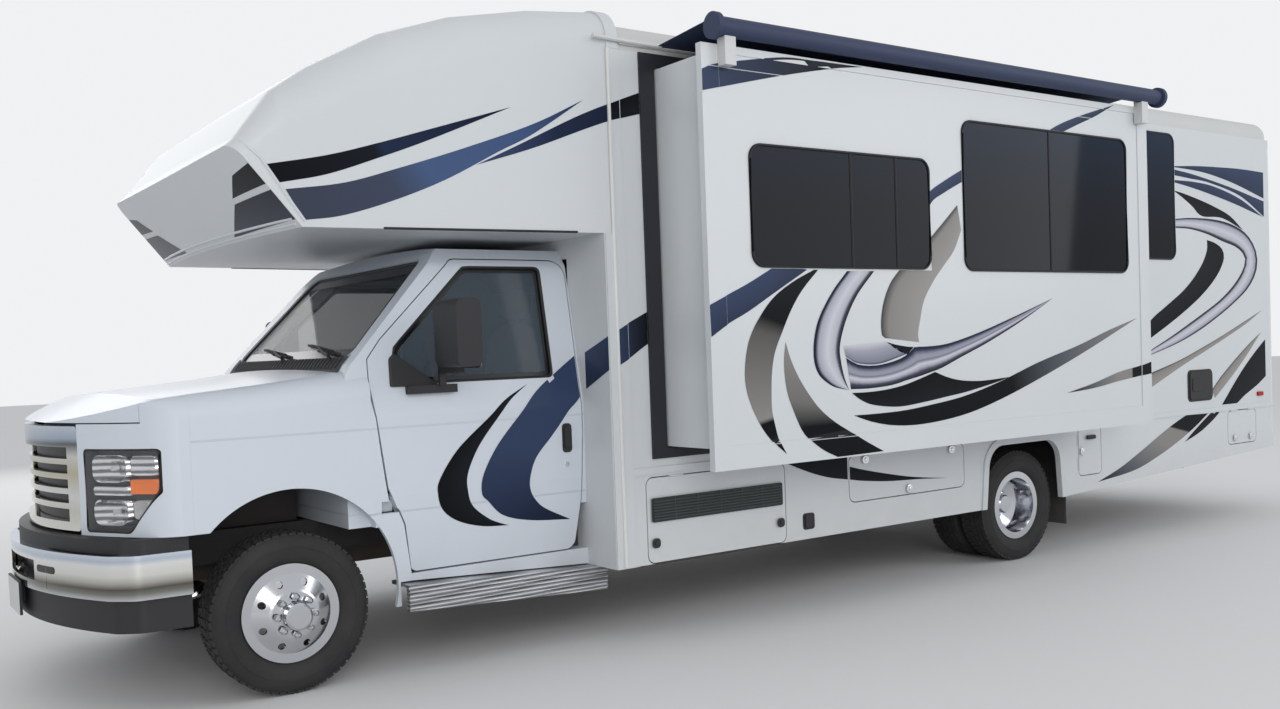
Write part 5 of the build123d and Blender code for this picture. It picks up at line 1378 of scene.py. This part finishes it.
def plates(name, finish, body, y, sign, slot, *shapes):
    """Plates on a side: each (x0, x1, z0, z1, corner, how far out, thickness)."""
    parts = [panel(rounded_loop(x0, x1, z0, z1, corner), on_side(y + out, sign), thick, min(0.003, thick * 0.5))
             for x0, x1, z0, z1, corner, out, thick in shapes]
    fitting(name, parts, finish, body)


for side, sign, latches in (
    ("left", -1, (("front", 1.850, 0.500), ("front", 2.728, 0.510), ("middle", 3.420, 0.812),
                  ("middle", 3.800, 0.600), ("middle", 4.200, 0.812), ("narrow", 5.590, 0.690),
                  ("rear", 7.640, 0.640), ("rear", 7.880, 0.640))),
    ("right", 1, (("front", 1.870, 0.520), ("front", 2.700, 0.520), ("rear", 6.420, 0.640),
                  ("rear", 7.280, 0.640))),
):
    for number, (hatch, x, z) in enumerate(latches):
        plates("latch_%s_%d" % (side, number), black_plastic if sign < 0 and z < 0.52 else chrome,
               "hatch_%s_%s" % (side, hatch), HATCH_Y, sign, "chrome",
               (x - 0.026, x + 0.026, z - 0.026, z + 0.026, 0.020, 0.0, 0.006),
               (x - 0.013, x + 0.013, z - 0.013, z + 0.013, 0.012, 0.005, 0.006))
plates("vent_panel", lamp_black, "hatch_left_front", HATCH_Y, -1, "black_plastic",
       (1.828, 2.745, 0.610, 0.738, 0.012, 0.0, 0.004))
louvres = [swept([at(x, -1.2855, 0.626 + 0.0155 * k) for x in (1.836, 2.290, 2.737)], 0.0045, 6, flat=1.3)
           for k in range(7)]
louvres += [swept([at(x, -1.286, z) for z in (0.614, 0.674, 0.734)], 0.003, 6, lean=UPRIGHT)
            for x in (1.980, 2.130, 2.290, 2.440, 2.590)]
fitting("vent_louvres", louvres, moulded("vent_grey", (0.035, 0.05, 0.05), 0.4, 0.1), "hatch_left_front")
plates("power_inlet", black_plastic, "coach", SKIN_Y, -1, "black_plastic",
       (2.905, 2.995, 0.445, 0.540, 0.018, 0.0, 0.006), (2.915, 2.985, 0.455, 0.530, 0.014, 0.006, 0.010))
plates("water_hatch", black_plastic, "coach", SKIN_Y, -1, "black_plastic",
       (6.970, 7.320, 0.962, 1.208, 0.040, 0.0, 0.006), (6.985, 7.305, 0.977, 1.193, 0.030, 0.006, 0.010),
       (7.010, 7.130, 1.040, 1.140, 0.020, 0.016, 0.006))
for name, finish, x, y, sign in (("marker_left", red_lens, 8.000, SKIN_Y, -1),
                                 ("marker_right", red_lens, 8.000, SKIN_Y, 1),
                                 ("marker_front_right", amber_lens, 1.700, 1.278, 1)):
    plates(name, finish, "coach", y, sign, "lamp_lens", (x, x + 0.085, 0.958, 0.993, 0.008, 0.0, 0.014))
plates("narrow_hatch_pull", black_plastic, "hatch_left_narrow", HATCH_Y, -1, "black_plastic",
       (5.640, 5.740, 0.770, 0.800, 0.012, 0.0, 0.010))
plates("entry_latch", black_plastic, "entry_door", 1.296, 1, "black_plastic",
       (4.235, 4.320, 1.290, 1.440, 0.015, 0.0, 0.008), (4.250, 4.305, 1.330, 1.405, 0.010, 0.008, 0.012))
plates("fridge_vent", plate_white, "coach", SKIN_Y, 1, "white_plastic", (*FRIDGE_VENT, 0.020, 0.0, 0.008))
slats = [swept([at(x, 1.282, 1.060 + 0.030 * k) for x in (7.080, 7.235, 7.390)], 0.008, 6, flat=0.8)
         for k in range(12)]
fitting("fridge_vent_slats", slats, plate_white, "coach")

# Joints: painted steel fillers behind fender and rocker, white moulding strips screwed over
# the joints of the body panels, and the end of the topper's rail along the roof.
for side, sign in SIDES:
    filler = panel(rounded_loop(0.450, 0.520, 0.785, 0.842, 0.006), on_side(0.950, sign), 0.004, 0.001)
    fitting("rocker_filler_" + side, [filler], cab_paint_sky_shaded, "coach")
FRONT_JOINT = (1.652, 1.281, 0.010, 0.9, (0.400, 0.900, 1.700, 2.500, 3.060))
REAR_JOINT = (8.236, 1.262, 0.012, 1.0, (0.640, 1.500, 3.000))
strips = []
for sign, (x, y, radius, flat, levels) in ((-1, FRONT_JOINT), (-1, REAR_JOINT), (1, REAR_JOINT), (1, FRONT_JOINT)):
    strips.append(swept([at(x, sign * y, z) for z in levels], radius, 8, flat=flat, lean=UPRIGHT))
fitting("joint_strips", strips, plate_white, "coach")
rail = [at(x, -1.292, z) for x, z in ((1.560, 3.108), (1.750, 3.103), (1.985, 3.098))]
fitting("topper_rail_end", [swept(rail, 0.011, 8, flat=1.2)], awning_shell, "coach")

# Cap trim: the two halves of the over-cab cap meet in a rolled crease on each side, and its
# lower edge has a double lip. A black gasket closes the slot under the cap.
CREASE = ((-0.168, 1.085, 2.494), (-0.130, 1.105, 2.458), (-0.096, 1.122, 2.420), (-0.050, 1.126, 2.350),
          (-0.003, 1.128, 2.280), (0.042, 1.131, 2.212), (0.088, 1.133, 2.146))
cap_ahead = Skin(["front_cap"], (1, 0, 0), 0.0)
lips = [swept([cap_ahead.on(ahead_of(-1.10 + 0.05 * k, level)) for k in range(45)], 0.007, 8)
        for level in (2.136, 2.158)]
gasket = []
for side, sign in SIDES:
    corner = Skin(["front_cap"], (0.7071, -sign * 0.7071, 0), 0.0)
    lips.append(swept([corner.on(at(x, sign * y, z)) for x, y, z in CREASE], 0.007, 8))
    under = Skin(["front_cap"], (0, -sign, 0), 0.0)
    run = [under.on(at(0.45 + 0.10 * k, sign * 1.6, 2.128)) for k in range(11)]
    gasket.append(swept([p - Vector((0, 0, 0.006)) for p in run if p], 0.006, 8))
fitting("cap_lips", lips, coach_skin, "coach")
fitting("cap_gasket", gasket, rubber_trim, "coach")

# Topper: woven acrylic cloth with hemmed ends, held in the wall rail and rolled out by the
# slide-out. It draws in towards the rail as the slide-out goes home, but this sheet is fixed to the coach as hung.
TOPPER = (1.960, 5.755)
RAIL_Y, RAIL_Z, ROLL_Y, ROLL_Z = -1.287, 3.0975, -1.788, 3.138


def topper_point(x, t):
    """A point of the hung cloth: t runs from the rail to the roller."""
    along = (x - TOPPER[0]) / (TOPPER[1] - TOPPER[0])
    wave = 0.0004 * math.sin(math.pi * t) * (math.sin(along * 31.0 + 2.0 * t) - 1.0)
    return at(x, RAIL_Y + (ROLL_Y - RAIL_Y) * t, RAIL_Z + (ROLL_Z - RAIL_Z) * t + wave)


cloth = [topper_point(TOPPER[0] + (TOPPER[1] - TOPPER[0]) * i / 120, j / 20)
         for i in range(121) for j in range(21)]
topper = open_piece("topper", [(cloth, grid(121, 21))], topper_cloth, "coach", (0, 0, 1), 60)
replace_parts(topper, "topper_fabric")
hems = [swept([topper_point(x, j / 20) + Vector((0, 0, 0.0012)) for j in range(21)], 0.0014, 6, flat=8.0)
        for x in (TOPPER[0] + 0.012, TOPPER[1] - 0.012)]
hem = fitting("topper_hems", hems, topper_cloth, "coach")
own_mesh(topper)
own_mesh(hem)


# Cab seats: foam cushions in grey cloth with raised side bolsters, stitched panels and piping,
# on steel pedestals bolted to the cab floor.
SQUARENESS = 3.2


def cushion(middle, size, tilt, crown, groove):
    """A stuffed block: its face (local +z) is crowned, with two stitched grooves along local x."""
    block = bmesh.new()
    bmesh.ops.create_cube(block, size=2.0)
    bmesh.ops.subdivide_edges(block, edges=block.edges[:], cuts=28, use_grid_fill=True)
    turn_back = Matrix.Rotation(tilt, 3, "Y")
    for vert in block.verts:
        u, v, w = vert.co
        reach = (abs(u) ** SQUARENESS + abs(v) ** SQUARENESS + abs(w) ** SQUARENESS) ** (1 / SQUARENESS)
        round_off = 1 - 0.72 * (1 - max(abs(u), abs(v), abs(w)) / reach)
        u, v, w = (c * round_off for c in (u, v, w))
        lift = 0.0
        if w > 0:
            bolster = 0.018 * max(0.0, 1 - ((abs(v) - 0.80) / 0.24) ** 2) * (1 - u ** 4)
            lift = crown * (1 - u * u) * (1 - v * v) + bolster
            for line, across in ((0.55, v), (0.0, u * 0.9)):
                near = abs(abs(across) - line)
                lift -= groove * math.exp(-(near / 0.035) ** 2) * (1 - max(abs(u), abs(v)) ** 6)
        spot = Vector((u * size[0] / 2, v * size[1] / 2, w * size[2] / 2 + lift * min(1.0, w * 1.5)))
        vert.co = turn_back @ spot + Vector(middle)
    return block


for side, sign in SIDES:
    y = sign * 0.43
    for name, x, z, size, tilt, crown, groove in (
        ("seat_base_", 1.215, 0.972, (0.50, 0.50, 0.120), -4, 0.014, 0.010),
        ("seat_back_", 1.492, 1.335, (0.72, 0.48, 0.095), -83.5, 0.012, 0.009),
        ("seat_headrest_", 1.545, 1.795, (0.17, 0.26, 0.075), -83.5, 0.008, 0.0),
    ):
        block = cushion(at(x, y, z), size, math.radians(tilt), crown, groove)
        bmesh.ops.recalc_face_normals(block, faces=block.faces)
        mesh = plain_mesh(name + side, (), (), seat_cloth)
        block.to_mesh(mesh)
        block.free()
        part = settle(mesh, name + side, "coach", 60)
        if name + side == "seat_base_left":
            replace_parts(part, "cab_seats")
    posts = [swept([at(1.510, y + s * 0.055, 1.640), at(1.528, y + s * 0.055, 1.740)], 0.006, 8) for s in (-1, 1)]
    piping = [swept([at(0.995 + 0.44 * k / 12, y + s * 0.236, 1.008 - 0.030 * (1 - k / 12) ** 2)
                     for k in range(13)], 0.004, 6) for s in (-1, 1)]
    pedestal = panel(rounded_loop(1.02, 1.43, y - 0.17, y + 0.17, 0.03), lambda a, b, out: at(a, b, 0.900 + out),
                     0.022, 0.003)
    fitting("seat_posts_" + side, posts, chrome, "coach")
    fitting("seat_piping_" + side, piping, trim_grey, "coach")
    fitting("seat_pedestal_" + side, [pedestal], black_plastic, "coach")

# Steering wheel: a moulded rim on three steel spokes, on a shrouded column from the dashboard.
# The wheel leans back with the column, square to it.
hub = at(0.985, -0.43, 1.345)
WHEEL_UP = Vector((0.42, 0, 0.907))
WHEEL_LEAN = (0.907, 0, -0.42)


def wheel_spot(radius, angle):
    return hub + Vector((0, radius * math.cos(angle), 0)) + WHEEL_UP * (radius * math.sin(angle))


steering = [swept([wheel_spot(0.19, 2 * math.pi * k / 48) for k in range(48)], 0.014, 10, True, lean=WHEEL_LEAN)]
for angle in (-90, 0, 180):
    tip = wheel_spot(0.185, math.radians(angle))
    steering.append(swept([hub, hub.lerp(tip, 0.5), tip], 0.012, 8, flat=1.6, lean=WHEEL_LEAN))
for near, far, radius, sides in (((0.012, 0, -0.006), (-0.03, 0, 0.014), 0.055, 20),
                                 ((-0.02, 0, 0.008), (-0.20, 0, 0.09), 0.034, 16)):
    steering.append(swept([hub + Vector(near), hub + Vector(far)], radius, sides, lean=UPRIGHT))
fitting("steering_wheel", steering, black_plastic, "coach")

# Air conditioner: intake louvres down both sides of the shroud, which is moulded in white
# plastic and bolted to the roof.
louvres = []
for side, sign in SIDES:
    shroud = Skin(["roof_units"], (0, -sign, 0), 0.0)
    for row in range(5):
        run = [shroud.on(at(4.42 + 0.10 * k, sign * 1.0, 3.34 + 0.026 * row)) for k in range(6)]
        louvres.append(swept(run, 0.006, 6))
fitting("shroud_louvres", louvres, trim_grey, "coach")
